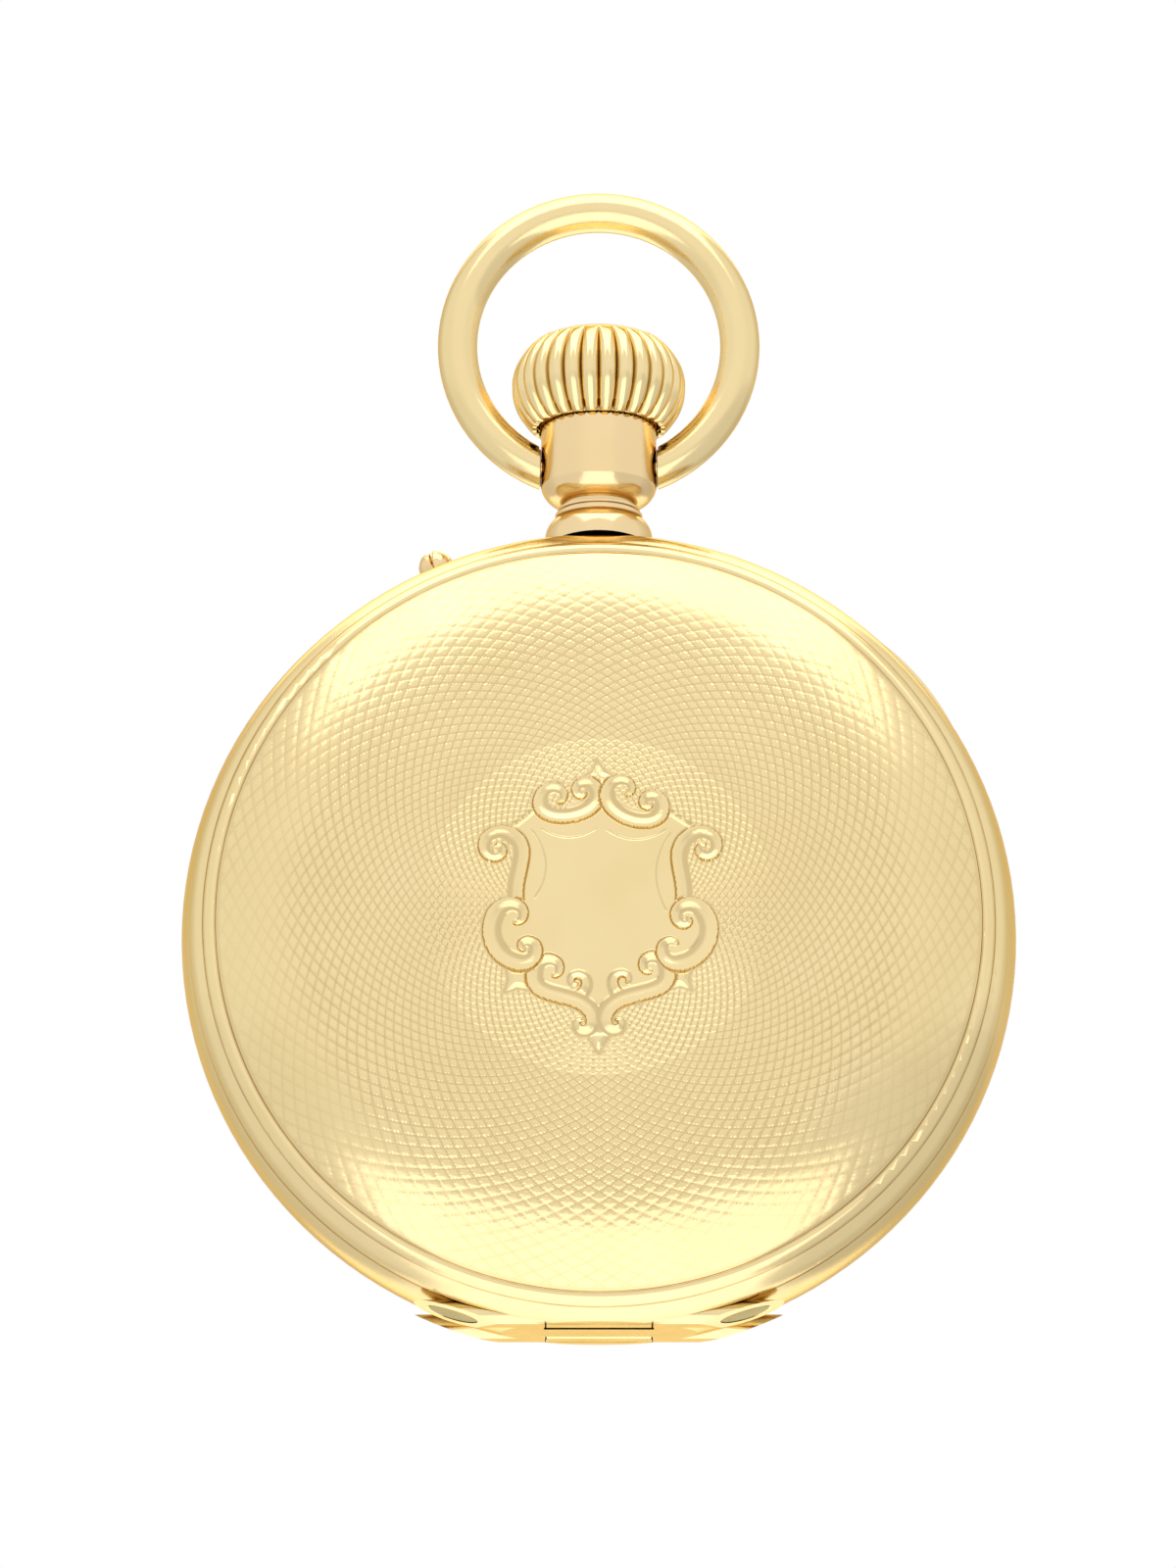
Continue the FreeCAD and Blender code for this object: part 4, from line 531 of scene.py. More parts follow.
# ---------------------------------------------------------------- the scrolled cartouche
# a scroll is its two ends and its half width; an end is a point, or a curl: the x and z of its eye,
# the clock angle where it starts, its radius there, how far it winds and its radius at the eye
SCROLLS = {
    "low_left_curl": ((-2.32, -5.73), (-1.36, -4.78, 150, 0.76, -330, 0.16), 0.34),
    "low_right_curl": ((2.27, -5.73), (1.48, -4.69, 210, 0.81, 250, 0.26), 0.34),
    "low_left": ((-2.78, -4.11, 265, 1.05, 245, 0.29), (-1.01, -7.2, 60, 0.76, 300, 0.16), 0.45),
    "low_right": ((3.03, -3.91, 95, 1.02, -265, 0.2), (1.02, -7.14, 300, 0.76, -300, 0.16), 0.45),
    "upper_left": ((-6.02, 3.47, 40, 1.15, -400, 0.16), (-4.91, 0.38), 0.43),
    "upper_right": ((6.23, 3.51, 310, 1.13, 400, 0.16), (5.0, 0.32), 0.43),
    "side_left": ((-5.01, -0.83, 285, 1.15, 235, 0.31), (-4.38, -2.67, 205, 0.97, -330, 0.13), 0.5),
    "side_right": ((5.18, -0.89, 65, 1.1, -330, 0.13), (4.4, -2.63, 155, 1.05, 235, 0.31), 0.5),
    "top_left": ((-2.52, 6.56, 255, 1.02, 250, 0.29), (-0.94, 6.94, 100, 0.87, -330, 0.13), 0.42),
    "top_right": ((1.51, 7.0, 250, 1.1, 250, 0.29), (2.99, 6.2, 115, 0.84, -330, 0.13), 0.42),
}
# outlines and arcs are points in x and z, in millimetres from the middle of the cover
SHIELD = [(0, 7.3), (-2.1, 5.9), (-3.8, 5.9), (-5.0, 4.9), (-4.5, 3.3), (-4.4, 2.0), (-4.8, 0.2),
          (-6.3, -1.7), (-5.1, -3.7), (-3.8, -4.1), (-3.1, -5.7), (-1.3, -6.2), (0, -7.6), (1.2, -6.2),
          (3.2, -5.7), (3.9, -4.1), (5.2, -3.7), (6.4, -1.7), (4.9, 0.2), (4.5, 2.0), (4.6, 3.3),
          (5.5, 4.85), (4.0, 5.86), (2.1, 5.9)]
SHIELD_SIDES = (SHIELD[2:4], SHIELD[21:23])
POINTS = [[(-0.1, 8.95), (-0.42, 8.2), (-0.85, 7.9), (-0.8, 7.4), (0.8, 7.4), (0.85, 7.95),
           (0.28, 8.25)],
          [(-0.85, -7.7), (-0.55, -8.25), (-0.03, -9.05), (0.5, -8.25), (0.8, -7.7)],
          [(-5.5, -3.9), (-5.38, -4.6), (-5.62, -5.4), (-4.85, -5.1), (-4.1, -5.2), (-4.1, -3.9)],
          [(4.15, -3.9), (4.2, -5.15), (4.8, -5.0), (5.5, -5.25), (5.3, -4.6), (5.5, -3.9)]]
FINE_ARCS = [((-3.96, 4.58), (-3.14, 2.5), (-3.77, 0.42)), ((4.24, 4.38), (3.39, 2.1), (3.98, -0.39)),
             ((-3.37, 4.65), (-1.8, 4.11), (-0.22, 4.62)), ((0.46, 4.58), (2.2, 3.98), (3.98, 4.62))]


def volute(eye_x, eye_z, clock, radius, sweep, end):
    """Points of a curl from its outer end inwards."""
    share = np.linspace(0, 1, 60)
    angle = np.radians(clock + sweep * share)
    reach = end + (radius - end) * (1 - share) ** 1.15
    return np.stack([eye_x + reach * np.sin(angle), eye_z + reach * np.cos(angle)], -1)


def scroll_line(first, second):
    """Centre line of a scroll: a curl or a point at each end and a smooth body between."""
    ends = [volute(*end) if len(end) > 2 else np.array([end]) for end in (first, second)]
    start, finish = ends[0][0], ends[1][0]
    gap = np.linalg.norm(finish - start)
    pulls = []
    for end, other in ((ends[0], finish), (ends[1], start)):
        way = end[0] - end[1] if len(end) > 1 else other - end[0]
        pulls.append(way / np.linalg.norm(way) * gap * 1.25)
    share = np.linspace(0, 1, 60)[:, None]
    body = (start * (1 + 2 * share) * (1 - share) ** 2 + pulls[0] * share * (1 - share) ** 2
            + finish * share ** 2 * (3 - 2 * share) + pulls[1] * share ** 2 * (1 - share))
    line = np.concatenate([ends[0][::-1][:-1], body, ends[1][1:]])
    curls = [len(end) - 1 for end in ends]
    return line, curls


def near_line(x, z, line, widths):
    """The nearest place of a line: its distance over the half width, signed, and in millimetres."""
    step = np.gradient(line, axis=0)
    step /= np.linalg.norm(step, axis=1)[:, None] + 1e-9
    best = np.full(x.shape, 9.0)
    signed = np.full(x.shape, 9.0)
    for (px, pz), (tx, tz), width in zip(line, step, widths):
        dx, dz = x - px, z - pz
        share = np.hypot(dx, dz) / width
        closer = share < best
        best = np.where(closer, share, best)
        signed = np.where(closer, share * np.sign(dx * tz - dz * tx + 1e-12), signed)
    return best, signed


def inside(x, z, outline):
    """True where a point is inside a closed outline."""
    found = np.zeros(x.shape, bool)
    for (ax, az), (bx, bz) in zip(outline, outline[1:] + outline[:1]):
        crosses = (az > z) != (bz > z)
        found ^= crosses & (x < (bx - ax) * (z - az) / (bz - az + 1e-12) + ax)
    return found


def edge_distance(x, z, outline, closed=True):
    """Distance to an outline's sides."""
    best = np.full(x.shape, 99.0)
    following = outline[1:] + outline[:1] if closed else outline[1:]
    for (ax, az), (bx, bz) in zip(outline, following):
        dx, dz = bx - ax, bz - az
        share = np.clip(((x - ax) * dx + (z - az) * dz) / (dx * dx + dz * dz), 0, 1)
        best = np.minimum(best, np.hypot(x - ax - share * dx, z - az - share * dz))
    return best


def bent(first, middle, last):
    """Points of a smooth arc through three points."""
    share = np.linspace(0, 1, 14)[:, None]
    pull = 2 * np.array(middle) - (np.array(first) + np.array(last)) / 2
    curve = (1 - share) ** 2 * first + 2 * share * (1 - share) * pull + share ** 2 * np.array(last)
    return [tuple(point) for point in curve]


def cut_scroll(height, x, z, first, second, half):
    """Cuts one scroll into the relief: a raised outer edge, a hollow inside it and a sharp outline."""
    line, (curl_a, curl_b) = scroll_line(first, second)
    count = len(line)
    place = np.arange(count)
    widths = np.full(count, half)
    if curl_a:
        share = np.clip((curl_a - place) / curl_a, 0, 1)
        widths = np.where(place < curl_a, half + (CURL_END - half) * share ** 0.8, widths)
    if curl_b:
        start = count - 1 - curl_b
        share = np.clip((place - start) / curl_b, 0, 1)
        widths = np.where(place > start, half + (CURL_END - half) * share ** 0.8, widths)
    low, high = line.min(0) - 1.0, line.max(0) + 1.0
    close = np.nonzero((x > low[0]) & (x < high[0]) & (z > low[1]) & (z < high[1]))[0]
    share, signed = near_line(x[close], z[close], line, widths)
    # a curl is cut on the side of its eye, so the hollow side follows the way the line turns
    turning = np.cross(line[1] - line[0], line[2] - line[1])
    outward = signed * (1 if turning > 0 else -1)
    band = SCROLL_LIFT + SCROLL_SWELL * np.sin(np.clip(outward, -1, 1) * math.pi / 2)
    local = height[close]
    rim = (share >= 1) & (share < SCROLL_OUTLINE)
    cut = -0.05 * (SCROLL_OUTLINE - share) / (SCROLL_OUTLINE - 1)
    local = np.where(rim, np.minimum(local, cut), local)
    height[close] = np.where(share < 1, band, local)


def cartouche_relief(radius, angle):
    """Engraving in the middle of the front cover: scrolls round a plain shield, set in diamonds."""
    height = cell_height(radius, angle).ravel()
    work = np.nonzero(radius.ravel() < CARTOUCHE_R - 0.2)[0]
    x = (radius * np.sin(angle)).ravel()[work]
    z = (radius * np.cos(angle)).ravel()[work]
    local = np.where(inside(x, z, SHIELD), SHIELD_LIFT, height[work])
    for outline in POINTS:
        edge = edge_distance(x, z, outline)
        within = inside(x, z, outline)
        raised = POINT_LOW + POINT_RISE * smooth_step(edge, 0.0, POINT_SLOPE)
        local = np.where(within, raised, local)
        local = np.where(~within & (edge < 0.1), -0.06 * (1 - edge / 0.1), local)
    for line in SHIELD_SIDES:
        edge = edge_distance(x, z, line, closed=False)
        cut = SIDE_CUT * (1 - smooth_step(edge, 0.0, SIDE_CUT_REACH))
        local = np.where(edge < SIDE_CUT_REACH, local - cut, local)
    for arc in FINE_ARCS:
        edge = edge_distance(x, z, bent(*arc), closed=False)
        cut = ARC_CUT * (1 - edge / ARC_CUT_REACH)
        local = np.where(edge < ARC_CUT_REACH, local - cut, local)
    for scroll in SCROLLS.values():
        cut_scroll(local, x, z, *scroll)
    height[work] = local
    return height.reshape(radius.shape)


def ring_relief(radius, angle):
    """The diamonds of a cover, rubbed towards the edge and ending in a plain border."""
    fade = smooth_step(radius, PATTERN_OUT_R - 0.1, PATTERN_OUT_R)
    cells = cell_height(radius, angle) * rubbed(radius, angle) * (1 - fade) - GROOVE_DEPTH * 0.5 * fade
    return cells - (SKIN + 0.02) * smooth_step(radius, DOME_R - EDGE_WALL, DOME_R)


def outer_rings(name, side, body, material, inner_r, cell_steps):
    """The diamonds from a radius to the edge of a dome, in two rings."""
    rows = spread_rows(inner_r, DOME_R - EDGE_WALL, cell_steps)
    rows = np.concatenate([rows, [DOME_R]])
    middle = np.searchsorted(rows, SPLIT_R)
    skin_piece(name + "_inner", rows[:middle + 1], ring_relief, side, body, material, cell_steps)
    skin_piece(name + "_outer", rows[middle:], ring_relief, side, body, material, cell_steps)


def front_engraving():
    """The engraved skin of the front cover: diamonds round a scrolled cartouche."""
    cut_gold = gold("engraved_gold", wear=0.6, rough=0.13, shade_and_dirt=0.1, engraved=True)
    rows = spread_rows(CARTOUCHE_PLAIN_R + 0.1, CARTOUCHE_R, FRONT_STEPS)
    inner = np.concatenate([np.linspace(AXIS_R, CARTOUCHE_PLAIN_R, 14), rows])
    skin_piece("front_cartouche", inner, cartouche_relief, -1, "front_cover", cut_gold, FRONT_STEPS)
    outer_rings("front_engine_turning", -1, "front_cover", cut_gold, rows[-1] - 1e-6, FRONT_STEPS)


def back_relief(radius, angle):
    """Engraving of the back cover: diamonds round a plain disc with a double border."""
    height = ring_relief(radius, angle)
    height = np.where(radius < BACK_DISC_R, 0.0, height)
    for border in (BACK_DISC_R, BACK_DISC_R + 0.55):
        height = np.where(np.abs(radius - border) < 0.4, 0.0, height)
    for border in (BACK_DISC_R - 0.1, BACK_DISC_R + 0.28, BACK_DISC_R + 0.95):
        height = height - 0.05 * (1 - smooth_step(np.abs(radius - border), 0.0, 0.12))
    return height


def back_engraving():
    """The engraved skin of the back cover: diamonds round a plain disc."""
    cut_gold = gold("back_engraved_gold", wear=1.0, rough=0.13, shade_and_dirt=0.1, engraved=True)
    rows = spread_rows(BACK_DISC_R - 0.5, BACK_DISC_R + 3.5, BACK_STEPS)
    inner = np.concatenate([np.linspace(AXIS_R, BACK_DISC_R - 0.55, 10), rows])
    skin_piece("back_disc", inner, back_relief, 1, "back_cover", cut_gold, BACK_STEPS)
    outer_rings("back_engine_turning", 1, "back_cover", cut_gold, rows[-1] - 1e-6, BACK_STEPS)


# ---------------------------------------------------------------- crown, pusher and collars
def turned_piece(name, rows, columns, shape, body, material, stands_for, place=None):
    """A closed turned piece whose radius may change round it. rows are (radius, z, share)."""
    angles = np.arange(columns) * FULL_TURN / columns
    rings = []
    for radius, z, share in rows:
        reach, rise = shape(radius, z, share, angles)
        level = rise * np.ones(columns)
        rings.append(np.stack([reach * np.sin(angles), -reach * np.cos(angles), level], -1))
    points = np.concatenate(rings)
    faces = ring_faces(len(rows), columns).tolist()
    faces.append(list(range(columns))[::-1])
    faces.append(list(range((len(rows) - 1) * columns, len(rows) * columns)))
    if place is not None:
        points = points @ place.T
    return new_piece(name, points, faces, body, material, 40, (stands_for,))


def arc_rows(first, last, radius, steps):
    """Points of an arc between two (radius, z) points, bulging outwards."""
    (r0, z0), (r1, z1) = first, last
    middle = np.array([(r0 + r1) / 2, (z0 + z1) / 2])
    along = np.array([r1 - r0, z1 - z0])
    half = np.linalg.norm(along) / 2
    way = np.array([along[1], -along[0]]) / (2 * half)
    centre = middle - way * math.sqrt(radius * radius - half * half)
    a0 = math.atan2(z0 - centre[1], r0 - centre[0])
    a1 = math.atan2(z1 - centre[1], r1 - centre[0])
    return [(centre[0] + radius * math.cos(a), centre[1] + radius * math.sin(a))
            for a in np.linspace(a0, a1, steps)]


def rib_share(along):
    """Depth of the ribs up the crown's side: most of it at the foot, full above and none at the cap."""
    return math.sin(min(1.0, along * 5 + 0.6) * math.pi / 2) * (1 - along ** 9)


def ribbed_crown():
    """The winding crown: rounded ribs from a scalloped lower edge up to a plain domed cap."""
    low, high = box_mm("crown")
    wide_r, foot_z, top_z = high[0], low[2], high[2]
    wide_z, cap_z, roof_z = foot_z + CROWN_WIDE_UP, top_z - CAP_TALL, foot_z + ROOM_UP
    sides = arc_rows((CROWN_FOOT_R, foot_z), (wide_r, wide_z), CROWN_ROUND, 16)
    sides += arc_rows((wide_r, wide_z), (CAP_R, cap_z), CROWN_ROUND, 16)[1:]
    cap_round = (CAP_R ** 2 + CAP_TALL ** 2) / (2 * CAP_TALL)
    cap = arc_rows((CAP_R, cap_z), (AXIS_R, top_z), cap_round, 10)[1:]
    rows = [(AXIS_R, STEM_TOP_Z, 0.0), (STEM_R, STEM_TOP_Z, 0.0), (STEM_R, roof_z, 0.0),
            (ROOM_R, roof_z, 0.0), (ROOM_R, foot_z + ROOM_LIP_UP, 0.0), (ROOM_R + ROOM_LIP, foot_z, 0.3)]
    for number, (radius, z) in enumerate(sides):
        rows.append((radius, z, rib_share(number / (len(sides) - 1))))
    rows += [(radius, z, 0.0) for radius, z in cap]

    def ribs(radius, z, share, angles):
        across = (angles * RIBS / FULL_TURN) % 1.0 * 2 - 1
        lobe = np.sqrt(np.maximum(1 - 0.96 * across ** 2, 0))
        sunk = RIB_DEPTH * share * (1 - lobe)
        lift = SCALLOP * share * (1 - lobe) if z < foot_z + SCALLOP_UP else 0.0
        return radius - sunk, z + lift

    finish = gold("crown_gold", rough=0.1, wear=0.5, shade_and_dirt=0.75)
    turned_piece("winding_crown", rows, RIBS * RIB_POINTS, ribs, "crown", finish, "crown")


def carved_pusher():
    """The set pusher: a ball head carved as a bud, with pointed petals round its top."""
    drop = math.sqrt(PUSHER_BALL_R ** 2 - PUSHER_STALK_R ** 2)
    rows = [(AXIS_R, PUSHER_FOOT_Z, 0.0), (PUSHER_STALK_R, PUSHER_FOOT_Z, 0.0),
            (PUSHER_STALK_R, PUSHER_BALL_Z - drop, 0.0)]
    first = math.asin(PUSHER_STALK_R / PUSHER_BALL_R)
    for number in range(1, PUSHER_BALL_ROWS):
        tilt = first + (math.pi - first) * number / PUSHER_BALL_ROWS
        radius, z = PUSHER_BALL_R * math.sin(tilt), PUSHER_BALL_Z - PUSHER_BALL_R * math.cos(tilt)
        rows.append((radius, z, tilt / math.pi))

    def petals(radius, z, share, angles):
        across = np.abs((angles * PETALS / FULL_TURN + 0.18) % 1.0 * 2 - 1)
        tip = 0.86 - 0.34 * across ** 1.5
        raised = smooth_step(tip - share, 0.0, 0.035) if share > 0.3 else np.ones(len(angles))
        scale = 1 - 0.13 * (1 - raised) - 0.1 * smooth_step(across, 0.86, 1.0) * (0.35 < share < 0.8)
        return radius * scale, PUSHER_BALL_Z + (z - PUSHER_BALL_Z) * scale if share else z

    angle = math.radians(PUSHER_ANGLE)
    cos, sin = math.cos(angle), math.sin(angle)
    place = np.array([[cos, 0, sin], [0, 1, 0], [-sin, 0, cos]])
    finish = gold("pusher_gold", PUSHER_GOLD, rough=0.12, wear=0.6, shade_and_dirt=0.7)
    turned_piece("carved_set_pusher", rows, PETALS * PETAL_POINTS, petals, "set_pusher", finish,
                 "set_pusher", place)


def bow_collars():
    """Thin collars that fill the play between the bow's flat ends and the pendant."""
    finish = gold("collar_gold", rough=0.16, shade_and_dirt=0.8)
    turns = np.arange(COLLAR_POINTS) * FULL_TURN / COLLAR_POINTS
    rows = len(COLLAR_SECTION)
    faces = np.concatenate([ring_faces(rows, COLLAR_POINTS), closing_faces(rows, COLLAR_POINTS)])
    for side, name in ((-1, "bow_collar_left"), (1, "bow_collar_right")):
        rings = []
        for radius, out in COLLAR_SECTION:
            x = np.full(COLLAR_POINTS, side * (COLLAR_X + out))
            rings.append(np.stack([x, radius * np.sin(turns), PIVOT_Z + radius * np.cos(turns)], -1))
        new_piece(name, np.concatenate(rings), faces.tolist(), "bow", finish, 30)


# ---------------------------------------------------------------- dial markings
def stroke(x0, z0, x1, z1, width):
    """The four corners of a straight pen stroke."""
    return [(x0 - width / 2, z0), (x0 + width / 2, z0), (x1 + width / 2, z1), (x1 - width / 2, z1)]


def numeral_strokes(text):
    """Strokes of a Roman number, upright, in units of its height and centred on its middle."""
    wide = {"I": 0.26, "V": 0.52, "X": 0.52}
    left = -sum(wide[letter] for letter in text) / 2
    found = []
    for letter in text:
        middle, half = left + wide[letter] / 2, wide[letter] / 2 - 0.06
        if letter == "I":
            found.append(stroke(middle, -0.5, middle, 0.5, THICK_STROKE))
        elif letter == "V":
            found.append(stroke(middle, -0.5, middle - half, 0.5, THICK_STROKE))
            found.append(stroke(middle, -0.5, middle + half, 0.5, THIN_STROKE))
        else:
            found.append(stroke(middle + half, -0.5, middle - half, 0.5, THICK_STROKE))
            found.append(stroke(middle - half, -0.5, middle + half, 0.5, THIN_STROKE))
        for z in (-0.48, 0.48):
            found.append(stroke(middle, z - 0.02, middle, z + 0.02, wide[letter] * 0.9))
        left += wide[letter]
    return found


def dial_prisms(outlines, low, high):
    """Points and faces of flat prisms on the dial, from outlines in x and z."""
    points, faces = [], []
    for outline in outlines:
        first, count = len(points), len(outline)
        points += [(x, low, z) for x, z in outline] + [(x, high, z) for x, z in outline]
        faces.append(tuple(first + i for i in range(count)))
        faces.append(tuple(first + count + i for i in reversed(range(count))))
        for i in range(count):
            j = (i + 1) % count
            faces.append((first + i, first + count + i, first + count + j, first + j))
    return points, faces


def dial_angle(minute):
    """The clock angle of a minute: 12 is on the far side from 6, which lies at +X."""
    return math.radians(6 * minute - 90)


def ring_outlines(radius, width, centre_x=0.0, pieces=60):
    """A painted circle as short bars."""
    found = []
    for number in range(pieces):
        a, b = (FULL_TURN * (number + k) / pieces for k in (0, 1))
        found.append([(centre_x + r * math.sin(t), r * math.cos(t))
                      for r, t in ((radius, a), (radius + width, a), (radius + width, b), (radius, b))])
    return found


def bar_outlines(count, low_r, high_r, width, centre_x=0.0, every=1):
    """Painted bars that point to the centre, one for each step of a track."""
    found = []
    for number in range(0, count, every):
        a = FULL_TURN * number / count
        out, side = np.array([math.sin(a), math.cos(a)]), np.array([math.cos(a), -math.sin(a)])
        corners = [out * low_r - side * width / 2, out * high_r - side * width / 2,
                   out * high_r + side * width / 2, out * low_r + side * width / 2]
        found.append([(centre_x + x, z) for x, z in corners])
    return found


def numeral_outlines():
    """The strokes of every hour, turned to stand on the dial's centre and spread with the radius."""
    found = []
    for hour, text in enumerate(NUMERALS):
        if text == HIDDEN_NUMERAL:
            continue
        angle = dial_angle(hour * 5)
        cos, sin = math.cos(angle), math.sin(angle)
        for outline in numeral_strokes(text):
            placed = []
            for across, up in outline:
                reach = NUMERAL_R + up * NUMERAL_TALL
                wide = across * NUMERAL_TALL * reach / NUMERAL_R
                placed.append((reach * sin + wide * cos, reach * cos - wide * sin))
            found.append(placed)
    return found


def dial_markings():
    """Fired black paint on the dial: Roman hours, the minute track and the seconds track."""
    face = box_mm("dial")[0][1]
    tree = new_tree("dial_paint")
    tone = tree.mix(tree.noise(3.0, 3.0), (0.012, 0.011, 0.012), (0.035, 0.032, 0.03))
    black = tree.surface(Base_Color=tone, Roughness=0.28)

    outlines = []
    for radius in MINUTE_TRACK:
        outlines += ring_outlines(radius, 0.06, pieces=180)
    outlines += bar_outlines(60, *MINUTE_BARS, 0.07)
    outlines += bar_outlines(60, *MINUTE_BARS, 0.3, every=5)
    outlines += numeral_outlines()
    points, faces = dial_prisms(outlines, face - 0.012, face + PAINT_THICK)
    new_piece("dial_hours", points, faces, "case", black, 30)

    sunk = face + SECONDS_SUNK
    outlines = []
    for radius in SECONDS_TRACK:
        outlines += ring_outlines(radius, 0.04, SECONDS_X, 90)
    outlines += bar_outlines(60, *SECONDS_BARS, 0.04, SECONDS_X)
    outlines += bar_outlines(60, *SECONDS_LONG_BARS, 0.09, SECONDS_X, 5)
    points, faces = dial_prisms(outlines, sunk - 0.01, sunk + PAINT_THICK)
    new_piece("dial_seconds", points, faces, "case", black, 30)


# ---------------------------------------------------------------- finishes of the CAD pieces
def paint(node, material):
    """Gives a CAD piece its finish."""
    piece = frame["nodes"][node]
    piece.data.materials.clear()
    piece.data.materials.append(material)


def ruby_finish():
    """Clear red stone, a little darker inside."""
    tree = new_tree("ruby")
    tone = tree.mix(tree.noise(2.0, 2.0), (0.75, 0.04, 0.12), (0.45, 0.01, 0.05))
    return tree.surface(Base_Color=tone, Roughness=0.06, Transmission_Weight=0.35, IOR=1.76)


def enamel_finish():
    """White fired enamel with a soft shine, faintly uneven."""
    tree = new_tree("enamel")
    tone = tree.mix(tree.noise(0.15, 3.0), (0.9, 0.895, 0.86), (0.86, 0.85, 0.8))
    normal = tree.bump(tree.noise(0.6, 2.0), 0.02)
    return tree.surface(Base_Color=tone, Roughness=0.12, Normal=normal, Coat_Weight=0.5)


def glass_finish():
    """Clear watch glass with faint rubbing."""
    tree = new_tree("crystal")
    lines = tree.noise(1.0, 3.0, tree.place((0.6, 0.6, 18), (0.4, 0.2, 0.7)))
    spread = tree.ramp(lines, (0.5, 0.0), (0.8, 0.05))
    return tree.surface(Base_Color=(0.99, 1, 0.995), Roughness=spread, Transmission_Weight=1.0, IOR=1.5)


def blue_finish():
    """Steel heated to a deep blue, with a violet cast in places."""
    tree = new_tree("blued_steel")
    tone = tree.mix(tree.noise(0.8, 2.0), (0.014, 0.035, 0.17), (0.04, 0.026, 0.12))
    # painted shade: the blue turns near black in corners
    corner = tree.ramp(tree.corners(0.35, 6), (0.45, 0.95), (0.9, 0.0))
    tone = tree.mix(corner, tone, (0.002, 0.002, 0.006))
    rough = tree.ramp(tree.noise(5.0, 3.0), (0.3, 0.14), (0.7, 0.3))
    return tree.surface(Base_Color=tone, Metallic=1.0, Roughness=rough)


def paint_cad():
    """A finish for every CAD piece."""
    # the case pieces carry painted shade and dirt in their joints and rim seams
    plain = gold("case_gold", joint=True)
    for node in ("case_band", "front_cover", "back_cover", "cuvette", "cuvette_lugs", "bezel", "crown",
                 "set_pusher"):
        paint(node, plain)
    paint("bow", gold("bow_gold", rough=0.11, wear=1.2))
    paint("pendant", gold("neck_gold", RED_GOLD, rough=0.1, shade_and_dirt=0.55))
    pin = brushed("pin_brass", PIN_BRASS, 0.4)
    for node in ("front_joint_pin", "back_joint_pin", "cuvette_joint_pin"):
        paint(node, pin)
    finishes = {
        "blued_steel": blue_finish(),
        "gilt_brass": frosted("gilt", GILT),
        "wheel_brass": brushed("wheel_brass", WHEEL_BRASS, 0.25),
        "steel": brushed("steel", STEEL, 0.22),
        "spring_steel": brushed("spring_steel", SPRING_STEEL, 0.25),
        "ruby": ruby_finish(),
        "enamel": enamel_finish(),
        "glass": glass_finish(),
    }
    for row in frame["record"]["subparts"]:
        if row["material_slot"] in finishes:
            paint(row["node"], finishes[row["material_slot"]])
    for node in ("ratchet_wheel", "crown_wheel"):
        low, high = box_mm(node)
        middle = (low + high) / 2
        paint(node, brushed(node + "_steel", STEEL, 0.25, (middle[0], middle[2]), 0.02))


# ---------------------------------------------------------------- studio
CAMERA_AWAY = 0.600
CAMERA_BELOW = 16.2
SENSOR = 36.0
FRAME_TALL = 0.0943
AIM = Vector((-0.00065, 0.0, 0.00955))
FLOOR_Z = -0.26
FLOOR_REACH = 4.0

# brightness of the room, and of what is added to it or taken from it
ROOM = 1.05
PANEL = 0.95
TABLE = 0.6
DUSK = 0.07
DUSK_RIGHT = 0.1
SIDES = 0.06
FAR_WALL = 0.14


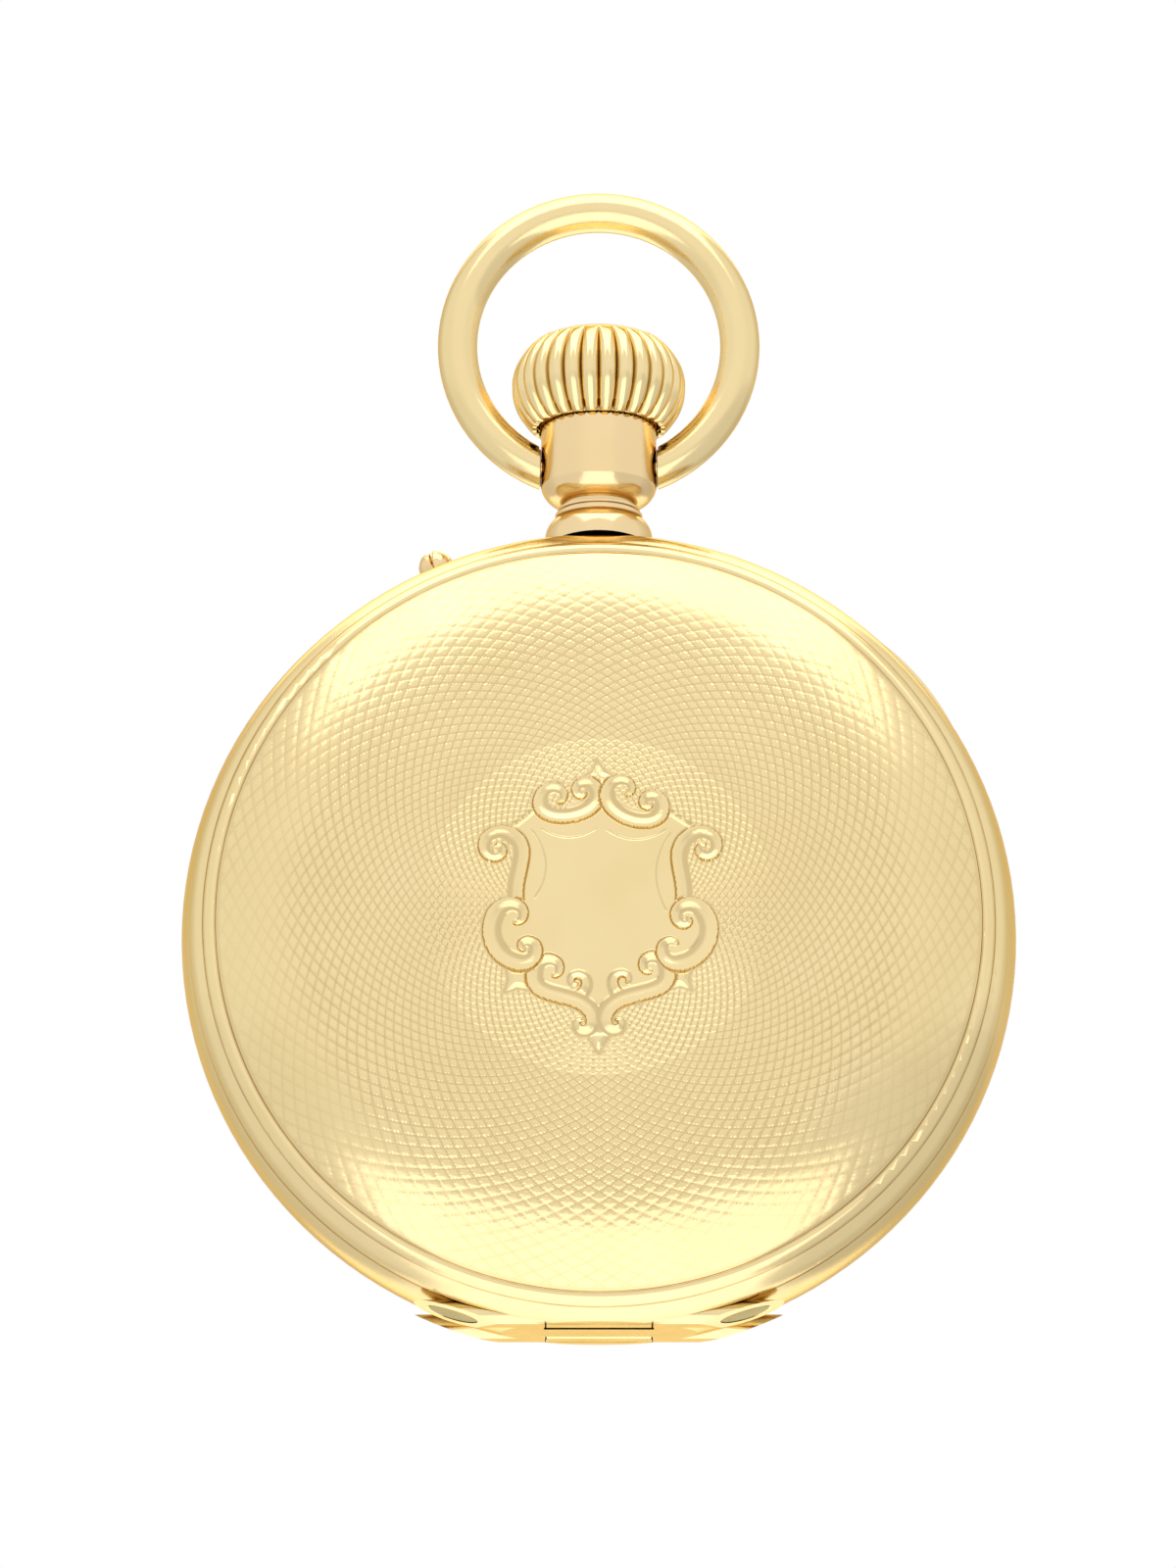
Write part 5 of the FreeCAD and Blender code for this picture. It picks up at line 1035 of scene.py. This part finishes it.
def room_light(tree):
    """The room's brightness along a direction, given as three parts: to the right, away and up.

    A wide panel hangs over the watch and a lit table lies below it. Past the table's sides it is
    darker, most of all on the right, and so are the room's sides and the wall behind the watch.
    """
    right, away, up = tree.axes("Generated")
    side = tree.maths("ABSOLUTE", right)
    down = tree.times(up, -1.0)
    between = tree.maths("SUBTRACT", 1.0, tree.step(side, 0.45, 0.52))
    past_front = tree.step(tree.maths("ADD", away, tree.times(side, 0.1)), -0.68, -0.61)
    panel = tree.times(tree.times(tree.step(up, 0.45, 0.6), past_front), between)
    light = tree.maths("ADD", ROOM, tree.times(panel, PANEL))
    table = tree.times(tree.step(down, 0.18, 0.26), between)
    light = tree.maths("ADD", light, tree.times(table, TABLE))
    dusk = tree.times(tree.step(down, -0.1, 0.06), tree.maths("SUBTRACT", 1.0, table))
    dark = tree.maths("ADD", DUSK, tree.times(tree.step(right, 0.25, 0.4), DUSK_RIGHT))
    light = tree.maths("SUBTRACT", light, tree.times(dusk, dark))
    light = tree.maths("SUBTRACT", light, tree.times(tree.step(side, 0.3, 0.8), SIDES))
    far_end = tree.maths("SUBTRACT", 1.0, tree.step(away, 0.7, 0.9))
    wall = tree.times(tree.step(away, 0.05, 0.4), far_end)
    return tree.maths("SUBTRACT", light, tree.times(wall, FAR_WALL))


def studio_world():
    """Soft light from all round; the camera itself sees plain white."""
    world = bpy.data.worlds.new("studio")
    tree = Tree(world, "OutputWorld")
    seen = tree.node("LightPath").outputs["Is Camera Ray"]
    hidden = tree.maths("SUBTRACT", 1.0, seen)
    strength = tree.maths("ADD", tree.times(room_light(tree), hidden), seen)
    background = tree.node("Background", {"Color": (1, 1, 1, 1), "Strength": strength})
    tree.links.new(background.outputs[0], tree.output.inputs["Surface"])
    bpy.context.scene.world = world


def pale_floor():
    """A plain pale floor far below the watch, left out of the metal's reflections."""
    mesh = bpy.data.meshes.new("floor")
    corners = [(x * FLOOR_REACH, y * FLOOR_REACH, FLOOR_Z) for x, y in ((-1, -1), (1, -1), (1, 1), (-1, 1))]
    mesh.from_pydata(corners, [], [(0, 1, 2, 3)])
    mesh.materials.append(new_tree("floor_paper").surface(Base_Color=(0.93, 0.93, 0.92), Roughness=0.9))
    floor = bpy.data.objects.new("floor", mesh)
    floor.visible_glossy = False
    bpy.context.scene.collection.objects.link(floor)


def studio_camera():
    """A camera in front of the watch, looking up at it from a little below."""
    lens = bpy.data.cameras.new("camera")
    lens.sensor_width = SENSOR
    lens.lens = SENSOR * CAMERA_AWAY / FRAME_TALL
    lens.clip_start, lens.clip_end = 0.01, 20.0
    camera = bpy.data.objects.new("camera", lens)
    tilt = math.radians(-CAMERA_BELOW)
    back = Vector((0, -math.cos(tilt), math.sin(tilt)))
    camera.location = AIM + back * CAMERA_AWAY
    camera.rotation_mode = "QUATERNION"
    camera.rotation_quaternion = (-back).to_track_quat("-Z", "Y")
    bpy.context.scene.collection.objects.link(camera)
    bpy.context.scene.camera = camera


paint_cad()
front_engraving()
back_engraving()
ribbed_crown()
carved_pusher()
bow_collars()
dial_markings()
bpy.context.scene.view_settings.view_transform = "Standard"
studio_world()
pale_floor()
studio_camera()
